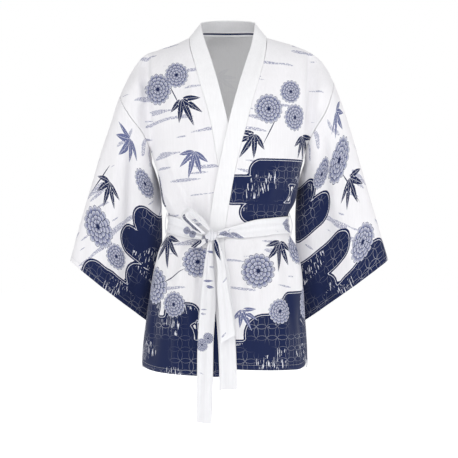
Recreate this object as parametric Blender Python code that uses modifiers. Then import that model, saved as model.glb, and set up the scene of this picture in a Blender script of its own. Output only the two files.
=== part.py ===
"""Short wrap kimono in cotton, filled out as if worn, with its belt tied in a bow.

Metres, +Z up. The origin is on the centre line at the level of the high point of the
shoulder. The wearer faces -Y, so the wearer's left is at +X. Sides are the wearer's.

The form under the cloth is an oval section at each height. A panel is a grid of points in
the front view, and the form gives each point its depth. Solidify gives it its wall.
"""

import math
from collections import namedtuple

import bpy
import numpy as np

NAME = "wrap_kimono"

# Cloth
CLOTH = 0.0016
BAND_CLOTH = 0.0024
BELT_CLOTH = 0.0022
SEAM_GAP = 0.0005
SLEEVE_GAP = 0.0010
ARMPIT_EASE = 0.0022
ARMPIT_ROUND = 0.0019

# Heights of the main lines
SHOULDER = 0.0037
ARMPIT = -0.270

# Neck
NECK_HALF = 0.0885
NECK_BACK_RISE = 0.0188
NECK_BACK_Y = 0.0757
NECK_DOME = 0.066
NECK_SLOPE = 0.46
COLLAR_LIFT = 0.0016
COLLAR_HALF = 0.0620
COLLAR_HEIGHT = 0.0400
COLLAR_BACK_RISE = 0.0135
COLLAR_Y = 0.012
COLLAR_BACK_Y = 0.046

# The oval of each level: a little fuller than an ellipse towards the sides
FULLNESS = 0.18
FRONT_DROP = 0.200
BACK_DROP = 0.150
ARM_DROP = 0.050
ARM_MARGIN = 0.018
ARM_START = 0.045

# The over front lies this far off the under front
WRAP_LIFT = 0.0036

Level = namedtuple("Level", "height right left front back")
BODY = [
    Level(-0.775, 0.1985, 0.1835, 0.139, 0.130),
    Level(-0.700, 0.1945, 0.1810, 0.135, 0.127),
    Level(-0.640, 0.1870, 0.1770, 0.129, 0.122),
    Level(-0.560, 0.1755, 0.1715, 0.121, 0.114),
    Level(-0.510, 0.1655, 0.1650, 0.114, 0.107),
    Level(-0.475, 0.1555, 0.1545, 0.107, 0.100),
    Level(-0.445, 0.1400, 0.1405, 0.100, 0.092),
    Level(-0.420, 0.1335, 0.1365, 0.097, 0.088),
    Level(-0.400, 0.1365, 0.1385, 0.098, 0.089),
    Level(-0.375, 0.1490, 0.1520, 0.102, 0.093),
    Level(-0.340, 0.1550, 0.1605, 0.106, 0.098),
    Level(-0.300, 0.1625, 0.1665, 0.110, 0.102),
    Level(-0.270, 0.1725, 0.1735, 0.112, 0.104),
    Level(-0.200, 0.1820, 0.1820, 0.112, 0.106),
    Level(-0.130, 0.1920, 0.1920, 0.109, 0.105),
    Level(-0.060, 0.2000, 0.2000, 0.108, 0.104),
    Level(0.080, 0.2050, 0.2050, 0.108, 0.104),
]

# The top line of the shoulders, from the neck out to the end of the armhole seam
Ridge = namedtuple("Ridge", "out right left")
RIDGE = [
    Ridge(0.0885, 0.0037, 0.0037),
    Ridge(0.1180, -0.0100, -0.0045),
    Ridge(0.1600, -0.0244, -0.0175),
    Ridge(0.1955, -0.0400, -0.0345),
    Ridge(0.2167, -0.0667, -0.0530),
    Ridge(0.2346, -0.1000, -0.0820),
    Ridge(0.2450, -0.1230, -0.1060),
    Ridge(0.2565, -0.1560, -0.1346),
    Ridge(0.2700, -0.2030, -0.1720),
]

# The filled upper arm: where it ends outside and inside, and half its thickness
Arm = namedtuple("Arm", "height out_right out_left inner thick")
ARM = [
    Arm(-0.270, 0.2890, 0.2990, 0.1730, 0.050),
    Arm(-0.205, 0.2707, 0.2800, 0.1560, 0.054),
    Arm(-0.171, 0.2622, 0.2697, 0.1450, 0.055),
    Arm(-0.123, 0.2450, 0.2525, 0.1300, 0.052),
    Arm(-0.085, 0.2265, 0.2360, 0.1200, 0.040),
    Arm(-0.050, 0.2040, 0.2140, 0.1100, 0.024),
    Arm(-0.020, 0.1470, 0.1670, 0.0950, 0.004),
    Arm(0.010, 0.1000, 0.1000, 0.0900, 0.001),
]

# The armhole seam in the front view, from the armpit up to the shoulder line
Seam = namedtuple("Seam", "share out_right height_right out_left height_left")
ARMHOLE = [
    Seam(0.00, 0.1725, -0.2700, 0.1735, -0.2700),
    Seam(0.17, 0.1800, -0.2460, 0.1800, -0.2450),
    Seam(0.45, 0.1980, -0.2090, 0.1985, -0.2060),
    Seam(0.62, 0.2180, -0.1840, 0.2200, -0.1700),
    Seam(0.82, 0.2380, -0.1520, 0.2360, -0.1250),
    Seam(1.00, 0.2475, -0.1295, 0.2415, -0.0975),
]

# The neck band of each front: its seam on the panel and its free edge. Where the band lies
# on the chest its depth follows the form (on_form 1), and at the collar it has its own.
Band = namedtuple("Band", "seam_x seam_z edge_x edge_z edge_y on_form")
BAND_UNDER = [
    Band(-0.0885, 0.0037, -0.0620, 0.0400, 0.0110, 0.0),
    Band(-0.0884, -0.0050, -0.0602, 0.0250, -0.0130, 0.0),
    Band(-0.0860, -0.0240, -0.0530, -0.0050, -0.0400, 0.0),
    Band(-0.0771, -0.0557, -0.0405, -0.0440, -0.0650, 0.0),
    Band(-0.0618, -0.1118, -0.0240, -0.1000, -0.0880, 0.2),
    Band(-0.0435, -0.1759, -0.0080, -0.1640, -0.1030, 0.6),
    Band(-0.0354, -0.2122, 0.0015, -0.2030, -0.1080, 1.0),
    Band(-0.0256, -0.2709, 0.0130, -0.2620, -0.1100, 1.0),
    Band(-0.0120, -0.3400, 0.0270, -0.3330, -0.1100, 1.0),
    Band(0.0000, -0.4100, 0.0390, -0.4070, -0.1100, 1.0),
    Band(0.0060, -0.4500, 0.0450, -0.4490, -0.1100, 1.0),
    Band(0.0080, -0.5200, 0.0470, -0.5200, -0.1100, 1.0),
    Band(0.0100, -0.6200, 0.0490, -0.6200, -0.1100, 1.0),
    Band(0.0120, -0.7600, 0.0510, -0.7600, -0.1100, 1.0),
]
BAND_OVER = [
    Band(0.0885, 0.0037, 0.0620, 0.0400, 0.0110, 0.0),
    Band(0.0884, -0.0050, 0.0604, 0.0260, -0.0120, 0.0),
    Band(0.0865, -0.0278, 0.0550, -0.0080, -0.0390, 0.0),
    Band(0.0790, -0.0650, 0.0420, -0.0530, -0.0680, 0.0),
    Band(0.0660, -0.1120, 0.0265, -0.1035, -0.0900, 0.2),
    Band(0.0522, -0.1600, 0.0130, -0.1520, -0.1020, 0.6),
    Band(0.0400, -0.2083, 0.0010, -0.1990, -0.1090, 1.0),
    Band(0.0258, -0.2598, -0.0115, -0.2540, -0.1100, 1.0),
    Band(0.0140, -0.3152, -0.0235, -0.3120, -0.1100, 1.0),
    Band(0.0060, -0.3600, -0.0320, -0.3580, -0.1100, 1.0),
    Band(-0.0030, -0.4130, -0.0400, -0.4110, -0.1100, 1.0),
    Band(-0.0070, -0.4525, -0.0443, -0.4524, -0.1100, 1.0),
    Band(-0.0035, -0.5184, -0.0397, -0.5184, -0.1100, 1.0),
    Band(0.0034, -0.5600, -0.0330, -0.5600, -0.1100, 1.0),
    Band(0.0100, -0.6154, -0.0270, -0.6154, -0.1100, 1.0),
    Band(0.0159, -0.6723, -0.0225, -0.6723, -0.1100, 1.0),
    Band(0.0199, -0.7600, -0.0185, -0.7600, -0.1100, 1.0),
]

# Side seam of the right side: how far round to the front it sits, in radians
Turn = namedtuple("Turn", "height right left")
SIDE_TURN = [
    Turn(-0.775, 0.00, 0.00),
    Turn(-0.560, 0.05, 0.00),
    Turn(-0.475, 0.16, 0.00),
    Turn(-0.400, 0.26, 0.00),
    Turn(-0.350, 0.24, 0.00),
    Turn(-0.310, 0.12, 0.00),
    Turn(-0.270, 0.00, 0.00),
    Turn(0.080, 0.00, 0.00),
]

# Hem heights against the share of the way from the side seam
Hem = namedtuple("Hem", "share under over back")
HEM = [
    Hem(0.00, -0.7320, -0.7060, -0.7370),
    Hem(0.04, -0.7400, -0.7140, -0.7500),
    Hem(0.10, -0.7440, -0.7270, -0.7555),
    Hem(0.20, -0.7480, -0.7410, -0.7580),
    Hem(0.32, -0.7515, -0.7480, -0.7600),
    Hem(0.50, -0.7550, -0.7480, -0.7620),
    Hem(0.80, -0.7575, -0.7455, -0.7620),
    Hem(0.93, -0.7560, -0.7440, -0.7620),
    Hem(1.00, -0.7385, -0.7430, -0.7620),
]

# The belt round the waist: angle from the left side through the back, in degrees
Girth = namedtuple("Girth", "angle low high")
BELT = [
    Girth(-99.45, -0.4555, -0.4410),
    Girth(-93.0, -0.4530, -0.4347),
    Girth(-80.0, -0.4550, -0.4245),
    Girth(-66.0, -0.4525, -0.4150),
    Girth(-45.0, -0.4475, -0.4098),
    Girth(0.0, -0.4440, -0.4048),
    Girth(90.0, -0.4440, -0.4050),
    Girth(180.0, -0.4400, -0.4025),
    Girth(219.0, -0.4494, -0.4121),
    Girth(240.0, -0.4560, -0.4290),
    Girth(248.5, -0.4575, -0.4370),
]
BELT_CLEAR = 0.0034
KNOT_RISE = 0.0085

# Heights of the panel rows under the armpit, as if the hem were level
ROW_HEIGHTS = [
    -0.760, -0.700, -0.640, -0.585, -0.540, -0.508, -0.484, -0.466, -0.450,
    -0.436, -0.422, -0.408, -0.394, -0.376, -0.350, -0.312, -0.270,
]
SIDE_COLUMNS = 13
NECK_COLUMNS = 8

# Soft gathers over and under the belt
GATHER_HEIGHT = 0.0026
GATHER_REACH = 0.085
GATHER_WAVES_FRONT = 5
GATHER_WAVES_BACK = 9

# Sleeves: outer fold, inner edge and half thickness against the share of the length
Tube = namedtuple("Tube", "share out_x out_z out_y in_x in_z in_y thick")
SLEEVE_RIGHT = [
    Tube(0.00, 0.2475, -0.1295, 0.000, 0.1765, -0.2680, 0.000, 0.050),
    Tube(0.06, 0.2560, -0.1530, 0.001, 0.1765, -0.2800, 0.007, 0.052),
    Tube(0.14, 0.2665, -0.1860, 0.002, 0.1710, -0.2960, 0.022, 0.053),
    Tube(0.30, 0.2885, -0.2490, 0.004, 0.1590, -0.3400, 0.042, 0.052),
    Tube(0.50, 0.3140, -0.3330, 0.008, 0.1545, -0.4100, 0.046, 0.049),
    Tube(0.70, 0.3370, -0.4090, 0.013, 0.1560, -0.4950, 0.056, 0.046),
    Tube(0.88, 0.3560, -0.4760, 0.018, 0.1680, -0.5900, 0.068, 0.043),
    Tube(1.00, 0.3649, -0.5080, 0.020, 0.1760, -0.6600, 0.074, 0.041),
]
SLEEVE_LEFT = [
    Tube(0.00, 0.2415, -0.0975, 0.000, 0.1775, -0.2680, 0.000, 0.050),
    Tube(0.06, 0.2510, -0.1220, 0.001, 0.1775, -0.2800, 0.007, 0.052),
    Tube(0.14, 0.2640, -0.1560, 0.002, 0.1725, -0.2960, 0.022, 0.053),
    Tube(0.30, 0.2880, -0.2300, 0.004, 0.1620, -0.3400, 0.042, 0.052),
    Tube(0.50, 0.3150, -0.3230, 0.008, 0.1575, -0.4100, 0.046, 0.049),
    Tube(0.70, 0.3400, -0.4060, 0.013, 0.1600, -0.4950, 0.056, 0.046),
    Tube(0.88, 0.3610, -0.4760, 0.018, 0.1670, -0.5850, 0.066, 0.043),
    Tube(1.00, 0.3704, -0.5060, 0.020, 0.1750, -0.6520, 0.070, 0.041),
]

# Folds of a sleeve: place across it (-1 inner edge, 1 outer fold), drop behind the fold
Fold = namedtuple("Fold", "face across start end drop width")
FOLDS_RIGHT = [
    Fold("front", -0.02, 0.10, 0.80, 0.0110, 0.55),
    Fold("front", -0.55, 0.45, 1.00, 0.0060, 0.35),
    Fold("back", 0.15, 0.15, 0.85, 0.0090, 0.55),
]
FOLDS_LEFT = [
    Fold("front", 0.10, 0.05, 0.60, 0.0070, 0.50),
    Fold("front", -0.45, 0.50, 1.00, 0.0060, 0.40),
    Fold("back", 0.05, 0.20, 0.90, 0.0090, 0.55),
]

# The belt's hanging ends: both edges in the front view, and how far they stand off
Strip = namedtuple("Strip", "left_x left_z right_x right_z off")
TAIL_LONG = [
    Strip(-0.0430, -0.4628, -0.0350, -0.4626, 0.0150),
    Strip(-0.0470, -0.4850, -0.0330, -0.4850, 0.0115),
    Strip(-0.0528, -0.5200, -0.0318, -0.5200, 0.0105),
    Strip(-0.0602, -0.5900, -0.0264, -0.5900, 0.0105),
    Strip(-0.0662, -0.6780, -0.0315, -0.6780, 0.0105),
    Strip(-0.0676, -0.7540, -0.0327, -0.7540, 0.0105),
    Strip(-0.0678, -0.8100, -0.0342, -0.8100, 0.0105),
    Strip(-0.0676, -0.8575, -0.0360, -0.8610, 0.0105),
]
TAIL_SHORT = [
    Strip(-0.0345, -0.4618, -0.0270, -0.4582, 0.0124),
    Strip(-0.0285, -0.4850, -0.0110, -0.4850, 0.0090),
    Strip(-0.0240, -0.5200, 0.0010, -0.5200, 0.0085),
    Strip(-0.0215, -0.5900, 0.0075, -0.5900, 0.0085),
    Strip(-0.0191, -0.6840, 0.0165, -0.6840, 0.0085),
    Strip(-0.0191, -0.7400, 0.0190, -0.7400, 0.0085),
    Strip(-0.0191, -0.7870, 0.0202, -0.7850, 0.0085),
]

# The hanging loop: down in front, round the fold, and up behind
LOOP_LOWER = [
    Strip(-0.0335, -0.4619, -0.0245, -0.4566, 0.0190),
    Strip(-0.0275, -0.4900, -0.0120, -0.4860, 0.0212),
    Strip(-0.0225, -0.5250, -0.0060, -0.5200, 0.0235),
    Strip(-0.0235, -0.5700, 0.0000, -0.5620, 0.0250),
    Strip(-0.0195, -0.6250, 0.0090, -0.6130, 0.0250),
    Strip(-0.0172, -0.6640, 0.0138, -0.6480, 0.0240),
    Strip(-0.0167, -0.6800, 0.0154, -0.6620, 0.0210),
    Strip(-0.0166, -0.6834, 0.0157, -0.6655, 0.0180),
    Strip(-0.0160, -0.6790, 0.0158, -0.6615, 0.0150),
    Strip(-0.0140, -0.6600, 0.0155, -0.6460, 0.0130),
    Strip(-0.0120, -0.6200, 0.0120, -0.6100, 0.0125),
    Strip(-0.0160, -0.5600, 0.0030, -0.5550, 0.0125),
    Strip(-0.0210, -0.5000, -0.0080, -0.4980, 0.0125),
    Strip(-0.0310, -0.4625, -0.0225, -0.4585, 0.0152),
]

# The upper loop is a ring: its near edge round the opening, its far edge by the cloth
Ring = namedtuple("Ring", "near_x near_z far_x far_z")
LOOP_UPPER = [
    Ring(-0.0420, -0.4385, -0.0385, -0.4360),
    Ring(-0.0575, -0.4240, -0.0540, -0.4130),
    Ring(-0.0740, -0.4090, -0.0720, -0.3970),
    Ring(-0.0845, -0.3990, -0.0860, -0.3880),
    Ring(-0.0890, -0.3990, -0.0935, -0.3920),
    Ring(-0.0905, -0.4040, -0.1010, -0.4030),
    Ring(-0.0860, -0.4110, -0.1025, -0.4110),
    Ring(-0.0760, -0.4210, -0.0920, -0.4220),
    Ring(-0.0630, -0.4325, -0.0740, -0.4350),
    Ring(-0.0495, -0.4430, -0.0520, -0.4465),
]
LOOP_NEAR_Y = -0.1340
LOOP_FAR_Y = -0.1135
LOOP_ROOT_Y = -0.1200

# The small fold that peeps out under the knot
FLAP = [
    Strip(-0.0515, -0.4560, -0.0485, -0.4645, 0.0150),
    Strip(-0.0640, -0.4606, -0.0610, -0.4740, 0.0104),
    Strip(-0.0740, -0.4680, -0.0700, -0.4760, 0.0085),
    Strip(-0.0815, -0.4730, -0.0805, -0.4750, 0.0085),
]

KNOT_CENTRE = (-0.0374, -0.1205, -0.4500)
KNOT_SIZE = (0.0135, 0.0090, 0.0118)
KNOT_LEAN = math.radians(24)

# Tape inside the back neck: its section, forward and up from the neck seam
TAPE_CLOTH = 0.0010
TAPE_BELOW = 0.0058
TAPE_ABOVE = 0.0060
TAPE_OFF = 0.0031
TAPE_START = 0.35

# Thread belt carriers at the side seams
CARRIER_THREAD = 0.0007
CARRIER_OFF = 0.0024
CARRIER_REACH = 0.0084
CARRIER_TOP = 0.0060
CARRIER_FOOT = 0.0055

WHITE = (0.86, 0.86, 0.90)
PLAIN_WHITE = (0.93, 0.93, 0.94)
THREAD = (0.80, 0.80, 0.83)


def curve(rows, key, column, at):
    """Column of a table at the given keys, on a smooth curve through its rows."""
    keys = np.array([getattr(row, key) for row in rows], float)
    values = np.array([getattr(row, column) for row in rows], float)
    order = np.argsort(keys)
    keys, values = keys[order], values[order]
    slopes = np.gradient(values, keys)
    at = np.clip(np.asarray(at, float), keys[0], keys[-1])
    low = np.clip(np.searchsorted(keys, at, side="right") - 1, 0, len(keys) - 2)
    step = keys[low + 1] - keys[low]
    t = (at - keys[low]) / step
    return (
        values[low] * (2 * t**3 - 3 * t**2 + 1)
        + slopes[low] * step * (t**3 - 2 * t**2 + t)
        + values[low + 1] * (3 * t**2 - 2 * t**3)
        + slopes[low + 1] * step * (t**3 - t**2)
    )


def along(rows, column, at):
    """Column of a table at shares from 0 (first row) to 1 (last row)."""
    values = np.array([getattr(row, column) for row in rows], float)
    keys = np.linspace(0.0, 1.0, len(values))
    slopes = np.gradient(values, keys)
    at = np.clip(np.asarray(at, float), 0.0, 1.0)
    low = np.clip((at * (len(keys) - 1)).astype(int), 0, len(keys) - 2)
    step = keys[1]
    t = (at - keys[low]) / step
    return (
        values[low] * (2 * t**3 - 3 * t**2 + 1)
        + slopes[low] * step * (t**3 - 2 * t**2 + t)
        + values[low + 1] * (3 * t**2 - 2 * t**3)
        + slopes[low + 1] * step * (t**3 - t**2)
    )


def ease(t):
    """Smooth step from 0 to 1."""
    t = np.clip(t, 0.0, 1.0)
    return t * t * (3 - 2 * t)


def half_width(x, z):
    """Half width of the form at a height, on the side where x lies."""
    right, left = (curve(BODY, "height", side, z) for side in ("right", "left"))
    return np.where(np.asarray(x) < 0, right, left)


def ridge(x, face):
    """Height of the shoulder line over x, carried on over the neck for each face."""
    out = np.abs(x)
    right, left = (curve(RIDGE, "out", side, out) for side in ("right", "left"))
    height = np.where(np.asarray(x) < 0, right, left)
    dome = np.sqrt(np.clip(1 - (out / NECK_HALF) ** 2, 0, 1)) * NECK_DOME
    slope = NECK_SLOPE * (NECK_HALF - out)
    inside = SHOULDER + (dome if face == "back" else slope)
    return np.where(out < NECK_HALF, inside, height)


def depth(x, z, face):
    """How far the form reaches from the plane y = 0, at a point of the front view.

    Torso: an oval across, that rises from the shoulder line on a quarter round.
    Arm: an oval between its outer and inner side. The larger wins, with a soft crease.
    """
    across = np.clip(np.abs(x) / half_width(x, z), 0, 1)
    drop = FRONT_DROP if face == "front" else BACK_DROP
    below = np.clip((ridge(x, face) - z) / drop, 0, 1)
    torso = curve(BODY, "height", face, z) * np.sqrt(1 - across**2)
    torso = torso * (1 + FULLNESS * across**2) * np.sqrt(1 - (1 - below) ** 2)
    out_right, out_left = (curve(ARM, "height", c, z) for c in ("out_right", "out_left"))
    out = np.where(np.asarray(x) < 0, out_right, out_left) + ARM_MARGIN
    inner = curve(ARM, "height", "inner", z)
    place = np.clip((2 * np.abs(x) - out - inner) / (out - inner), -1, 1)
    near_top = np.clip((ridge(x, face) - z) / ARM_DROP, 0, 1)
    arm = curve(ARM, "height", "thick", z) * np.sqrt(1 - place**2)
    arm = arm * np.sqrt(1 - (1 - near_top) ** 2)
    arm = arm * np.sin(np.pi / 2 * np.clip((z - ARMPIT) / ARM_START, 0, 1))
    return (torso**4 + arm**4) ** 0.25


def belt_edges(angle):
    """Lower and upper edge of the belt at an angle round the waist, in degrees."""
    turned = np.where(np.asarray(angle) > 254.0, np.asarray(angle) - 360.0, angle)
    return (curve(BELT, "angle", side, turned) for side in ("low", "high"))


def gathers(angle, z, waves, share):
    """Soft waves over and under the belt, none beneath it and none at the seams."""
    low, high = belt_edges(angle)
    under = (low - z) / GATHER_REACH
    over = (z - high) / (0.7 * GATHER_REACH)
    away = np.maximum(under, over)
    swell = np.where(away > 0, np.sin(np.pi * np.clip(away, 0, 1) ** 0.6) ** 2, 0.0)
    swell = swell * np.where(over > under, 0.6, 1.0)
    ends = np.clip(np.sin(np.pi * share), 0, 1) ** 0.5
    return GATHER_HEIGHT * swell * ends * np.sin(2 * np.pi * waves * share + 0.6)


def columns(strip):
    """Shares across a front, from its band to its side, with a narrow strip at each end."""
    even = np.linspace(0, 1, SIDE_COLUMNS + 1)
    return np.concatenate([[0.0, strip], even[1:-1], [1 - strip, 1.0]])


def panel_rows():
    """Shares for the rows: hem to armpit, then armpit to shoulder, closer at its ends."""
    heights = np.array(ROW_HEIGHTS)
    lower = (heights - heights[0]) / (heights[-1] - heights[0])
    turn = np.linspace(0, math.pi, 12)[1:-1]
    upper = np.concatenate([(1 - np.cos(turn)) / 2, [0.9980, 1.0]])
    return lower, upper


def coons(bottom, top, start, end, u, v):
    """Grid in the front view, blended from its four border curves."""
    u, v = u[None, :, None], v[:, None, None]
    bottom, top, start, end = bottom[None], top[None], start[:, None], end[:, None]
    corners = (
        (1 - u) * (1 - v) * bottom[:, :1]
        + u * (1 - v) * bottom[:, -1:]
        + (1 - u) * v * top[:, :1]
        + u * v * top[:, -1:]
    )
    return (1 - v) * bottom + v * top + (1 - u) * start + u * end - corners


def armhole(side, share):
    """Armhole seam in the front view at shares from armpit to shoulder."""
    x = curve(ARMHOLE, "share", f"out_{side}", share)
    z = curve(ARMHOLE, "share", f"height_{side}", share)
    sign = -1 if side == "right" else 1
    end = curve(ARMHOLE, "share", f"height_{side}", 1.0)
    top = ridge(sign * curve(ARMHOLE, "share", f"out_{side}", 1.0), "front")
    return np.stack([sign * x, z + (top - end) * np.asarray(share) ** 4], axis=-1)


def wrap_lift(x, z):
    """How far the over front is lifted off the form: full by the overlap, none at the side."""
    near = ease((0.80 - x / half_width(1.0, z)) / 0.55)
    return WRAP_LIFT * near * ease((-0.03 - z) / 0.12)


def front_panel(side):
    """Grid of one front: from its band seam (u = 0) to the side and armhole (u = 1)."""
    sign = -1 if side == "right" else 1
    band = BAND_UNDER if side == "right" else BAND_OVER
    hem_column = "under" if side == "right" else "over"
    u = columns(0.012)
    lower, upper = panel_rows()

    hem = curve(HEM, "share", hem_column, 1 - u)
    z = hem[None, :] + (ARMPIT - hem[None, :]) * lower[:, None]
    seam_x = curve(band, "seam_z", "seam_x", z)
    wide = half_width(sign, z)
    seam_angle = np.arccos(np.clip(sign * seam_x / wide, -1, 1))
    side_angle = curve(SIDE_TURN, "height", side, z)
    gap = SEAM_GAP / 2 / curve(BODY, "height", "front", z)
    start = seam_angle - SEAM_GAP / 2 / wide
    angle = start + (side_angle + gap - start) * u[None, :]
    x_low = sign * wide * np.cos(angle)
    y_low = depth(x_low, z, "front")
    round_angle = 360 - np.degrees(angle) if side == "left" else 180 + np.degrees(angle)
    clear = ease((u - 0.12) / 0.20)[None, :]
    y_low = y_low + gathers(round_angle, z, GATHER_WAVES_FRONT, u[None, :]) * clear

    bottom = np.stack([x_low[-1], z[-1]], axis=-1)
    seam_line = ARMPIT + (SHOULDER - ARMPIT) * upper
    inner = np.stack([curve(band, "seam_z", "seam_x", seam_line), seam_line], axis=-1)
    inner[:, 0] += sign * SEAM_GAP / 2
    outer = armhole(side, upper)
    top_x = sign * NECK_HALF + (outer[-1, 0] - sign * NECK_HALF) * u
    top_x[0] += sign * SEAM_GAP / 2
    top = np.stack([top_x, ridge(top_x, "front")], axis=-1)
    inner[-1] = top[0]
    high = coons(bottom, top, inner, outer, u, upper)
    x_high, z_high = high[..., 0], high[..., 1]
    start_share = ease(upper / 0.10)[:, None]
    y_high = depth(x_high, z_high, "front") * start_share + y_low[-1] * (1 - start_share)
    y_high[-1] = SEAM_GAP / 2

    x = np.concatenate([x_low, x_high])
    zz = np.concatenate([z, z_high])
    y = -np.concatenate([y_low, y_high])
    if side == "left":
        y = y - wrap_lift(x, zz)
    return np.stack([x, y, zz], axis=-1)


def back_panel():
    """Grid of the back, from the left side (u = 0) to the right side (u = 1)."""
    ridge_u = columns(0.012)
    neck_u = np.linspace(0, 1, NECK_COLUMNS + 1)[1:-1]
    neck_from, neck_to = 0.34, 0.66
    u = np.concatenate(
        [
            neck_from * (1 - ridge_u[::-1]),
            neck_from + (neck_to - neck_from) * neck_u,
            neck_to + (1 - neck_to) * ridge_u,
        ]
    )
    on_neck = np.zeros(len(u), bool)
    on_neck[len(ridge_u) : len(ridge_u) + len(neck_u)] = True
    lower, upper = panel_rows()
    from_side = np.clip(1 - np.abs(2 * u - 1), 0, 1)
    hem = curve(HEM, "share", "back", from_side)
    z = hem[None, :] + (ARMPIT - hem[None, :]) * lower[:, None]
    gap = SEAM_GAP / 2 / curve(BODY, "height", "back", z)
    start = gap - curve(SIDE_TURN, "height", "left", z)
    end = np.pi - gap + curve(SIDE_TURN, "height", "right", z)
    angle = start + (end - start) * u[None, :]
    wide = half_width(np.cos(angle), z)
    x_low = wide * np.cos(angle)
    behind = np.sin(angle) >= 0
    y_low = np.where(behind, depth(x_low, z, "back"), -depth(x_low, z, "front"))
    y_low = y_low + gathers(np.degrees(angle), z, GATHER_WAVES_BACK, u[None, :])

    bottom = np.stack([x_low[-1], z[-1]], axis=-1)
    start_seam, end_seam = armhole("left", upper), armhole("right", upper)
    share = np.clip((u - neck_from) / (neck_to - neck_from), 0, 1) * np.pi
    neck_x = NECK_HALF * np.cos(share)
    out_left = start_seam[-1, 0] + (NECK_HALF - start_seam[-1, 0]) * (u / neck_from)
    out_right = -NECK_HALF + (end_seam[-1, 0] + NECK_HALF) * ((u - neck_to) / (1 - neck_to))
    top_x = np.where(u < neck_from, out_left, np.where(u > neck_to, out_right, neck_x))
    neck_z = neck_seam(share)[:, 2] - SEAM_GAP
    top_z = np.where(on_neck, neck_z, ridge(top_x, "front"))
    top = np.stack([top_x, top_z], axis=-1)
    high = coons(bottom, top, start_seam, end_seam, u, upper)
    x_high, z_high = high[..., 0], high[..., 1]
    top_y = np.where(on_neck, neck_seam(share)[:, 1], SEAM_GAP / 2)
    y_high = depth(x_high, z_high, "back")
    y_high = y_high + (top_y - y_high[-1])[None, :] * upper[:, None] ** 8
    start_share = ease(upper / 0.10)[:, None]
    y_high = y_high * start_share + y_low[-1] * (1 - start_share)
    x = np.concatenate([x_low, x_high])
    y = np.concatenate([y_low, y_high])
    return np.stack([x, y, np.concatenate([z, z_high])], axis=-1)


def sleeve(side):
    """Closed tube of a sleeve: rows from armhole to cuff, columns round it."""
    sign = -1 if side == "right" else 1
    table = SLEEVE_RIGHT if side == "right" else SLEEVE_LEFT
    folds = FOLDS_RIGHT if side == "right" else FOLDS_LEFT
    rows = np.concatenate([[0.0, 0.010], np.linspace(0.06, 1.0, 13)])
    shares = np.concatenate([[0.0], panel_rows()[1]])
    share = np.concatenate([shares, shares[-2:0:-1]])
    place = 2 * share - 1
    front = np.arange(len(share)) < len(shares)

    def column(name):
        return curve(table, "share", name, rows)

    first = len(ROW_HEIGHTS) - 1
    edge_front = front_panel(side)[first:, -1]
    edge_back = back_panel()[first:, 0 if side == "left" else -1]
    ring = np.concatenate([edge_front, edge_back[-2:0:-1]])
    at_armpit = ARMPIT_EASE * (1 - ease(share / 0.25))
    ring_x = np.abs(ring[:, 0]) + SLEEVE_GAP * 0.88 + at_armpit
    ring_z = ring[:, 2] - SLEEVE_GAP * 0.47
    round_start = ARMPIT_ROUND * np.sqrt(np.clip(share / 0.02, 0, 1)) * (1 - ease(share / 0.3))
    ring_y = np.maximum(np.abs(ring[:, 1]), round_start)
    ring_y[[0, len(shares) - 1]] = 0
    chord_x = table[0].in_x + (table[0].out_x - table[0].in_x) * share
    chord_z = table[0].in_z + (table[0].out_z - table[0].in_z) * share
    bow = (1 - ease(rows / 0.35))[:, None]
    x = column("in_x")[:, None] + (column("out_x") - column("in_x"))[:, None] * share
    z = column("in_z")[:, None] + (column("out_z") - column("in_z"))[:, None] * share
    x = x + bow * (ring_x - chord_x)[None, :]
    z = z + bow * (ring_z - chord_z)[None, :]
    middle = column("in_y")[:, None] + (column("out_y") - column("in_y"))[:, None] * share
    oval = column("thick")[:, None] * np.sqrt(np.clip(1 - place**2, 0, 1))[None, :]
    keep = (1 - ease(rows / 0.22))[:, None]
    thick = keep * ring_y[None, :] + (1 - keep) * oval
    for fold in folds:
        face = front if fold.face == "front" else ~front
        behind = (fold.across - place) / fold.width
        shape = np.where(behind > 0, np.exp(-3 * behind) * ease(behind * 8), 0.0)
        length = ease((rows - fold.start) / 0.15) * ease((fold.end - rows) / 0.15 + 1.0)
        rim = np.sqrt(np.clip(1 - place**2, 0, 1))
        thick = thick - fold.drop * length[:, None] * (shape * rim * face)[None, :]
    y = middle + np.where(front, -1.0, 1.0)[None, :] * thick
    return np.stack([sign * x, y, z], axis=-1)


def band_front(side):
    """Grid of one front's neck band, from its panel seam to its free edge."""
    band = BAND_UNDER if side == "right" else BAND_OVER
    sign = -1 if side == "right" else 1
    panel = front_panel(side)[:, 0]
    seam_z = panel[:, 2]

    def column(name):
        return curve(band, "seam_z", name, seam_z)

    free = np.stack([column("edge_x"), column("edge_y"), column("edge_z")], axis=-1)
    flat = -depth(free[:, 0], free[:, 2], "front")
    if side == "left":
        flat = flat - wrap_lift(free[:, 0], free[:, 2])
    on_form = np.clip(column("on_form"), 0, 1)
    free[:, 1] = free[:, 1] * (1 - on_form) + flat * on_form
    seam = panel.copy()
    seam[:, 0] -= sign * SEAM_GAP
    seam[-1, 1] = -SEAM_GAP / 2
    free[-1, 1] = free[-1, 1] - SEAM_GAP / 2
    reach = np.linalg.norm(free - seam, axis=-1)
    lift = COLLAR_LIFT * (1 - ease((SHOULDER - seam_z) / 0.10)) / reach
    seam = seam + (free - seam) * lift[:, None]
    across = np.array([0.0, 0.06, 0.36, 0.68, 1.0])
    grid = seam[:, None] + (free - seam)[:, None] * across[None, :, None]
    tangent = -depth(grid[:, 1, 0], grid[:, 1, 2], "front")
    if side == "left":
        tangent = tangent - wrap_lift(grid[:, 1, 0], grid[:, 1, 2])
    on_chest = ease((SHOULDER - seam_z) / 0.05)
    grid[:, 1, 1] = grid[:, 1, 1] * (1 - on_chest) + tangent * on_chest
    return grid


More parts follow.
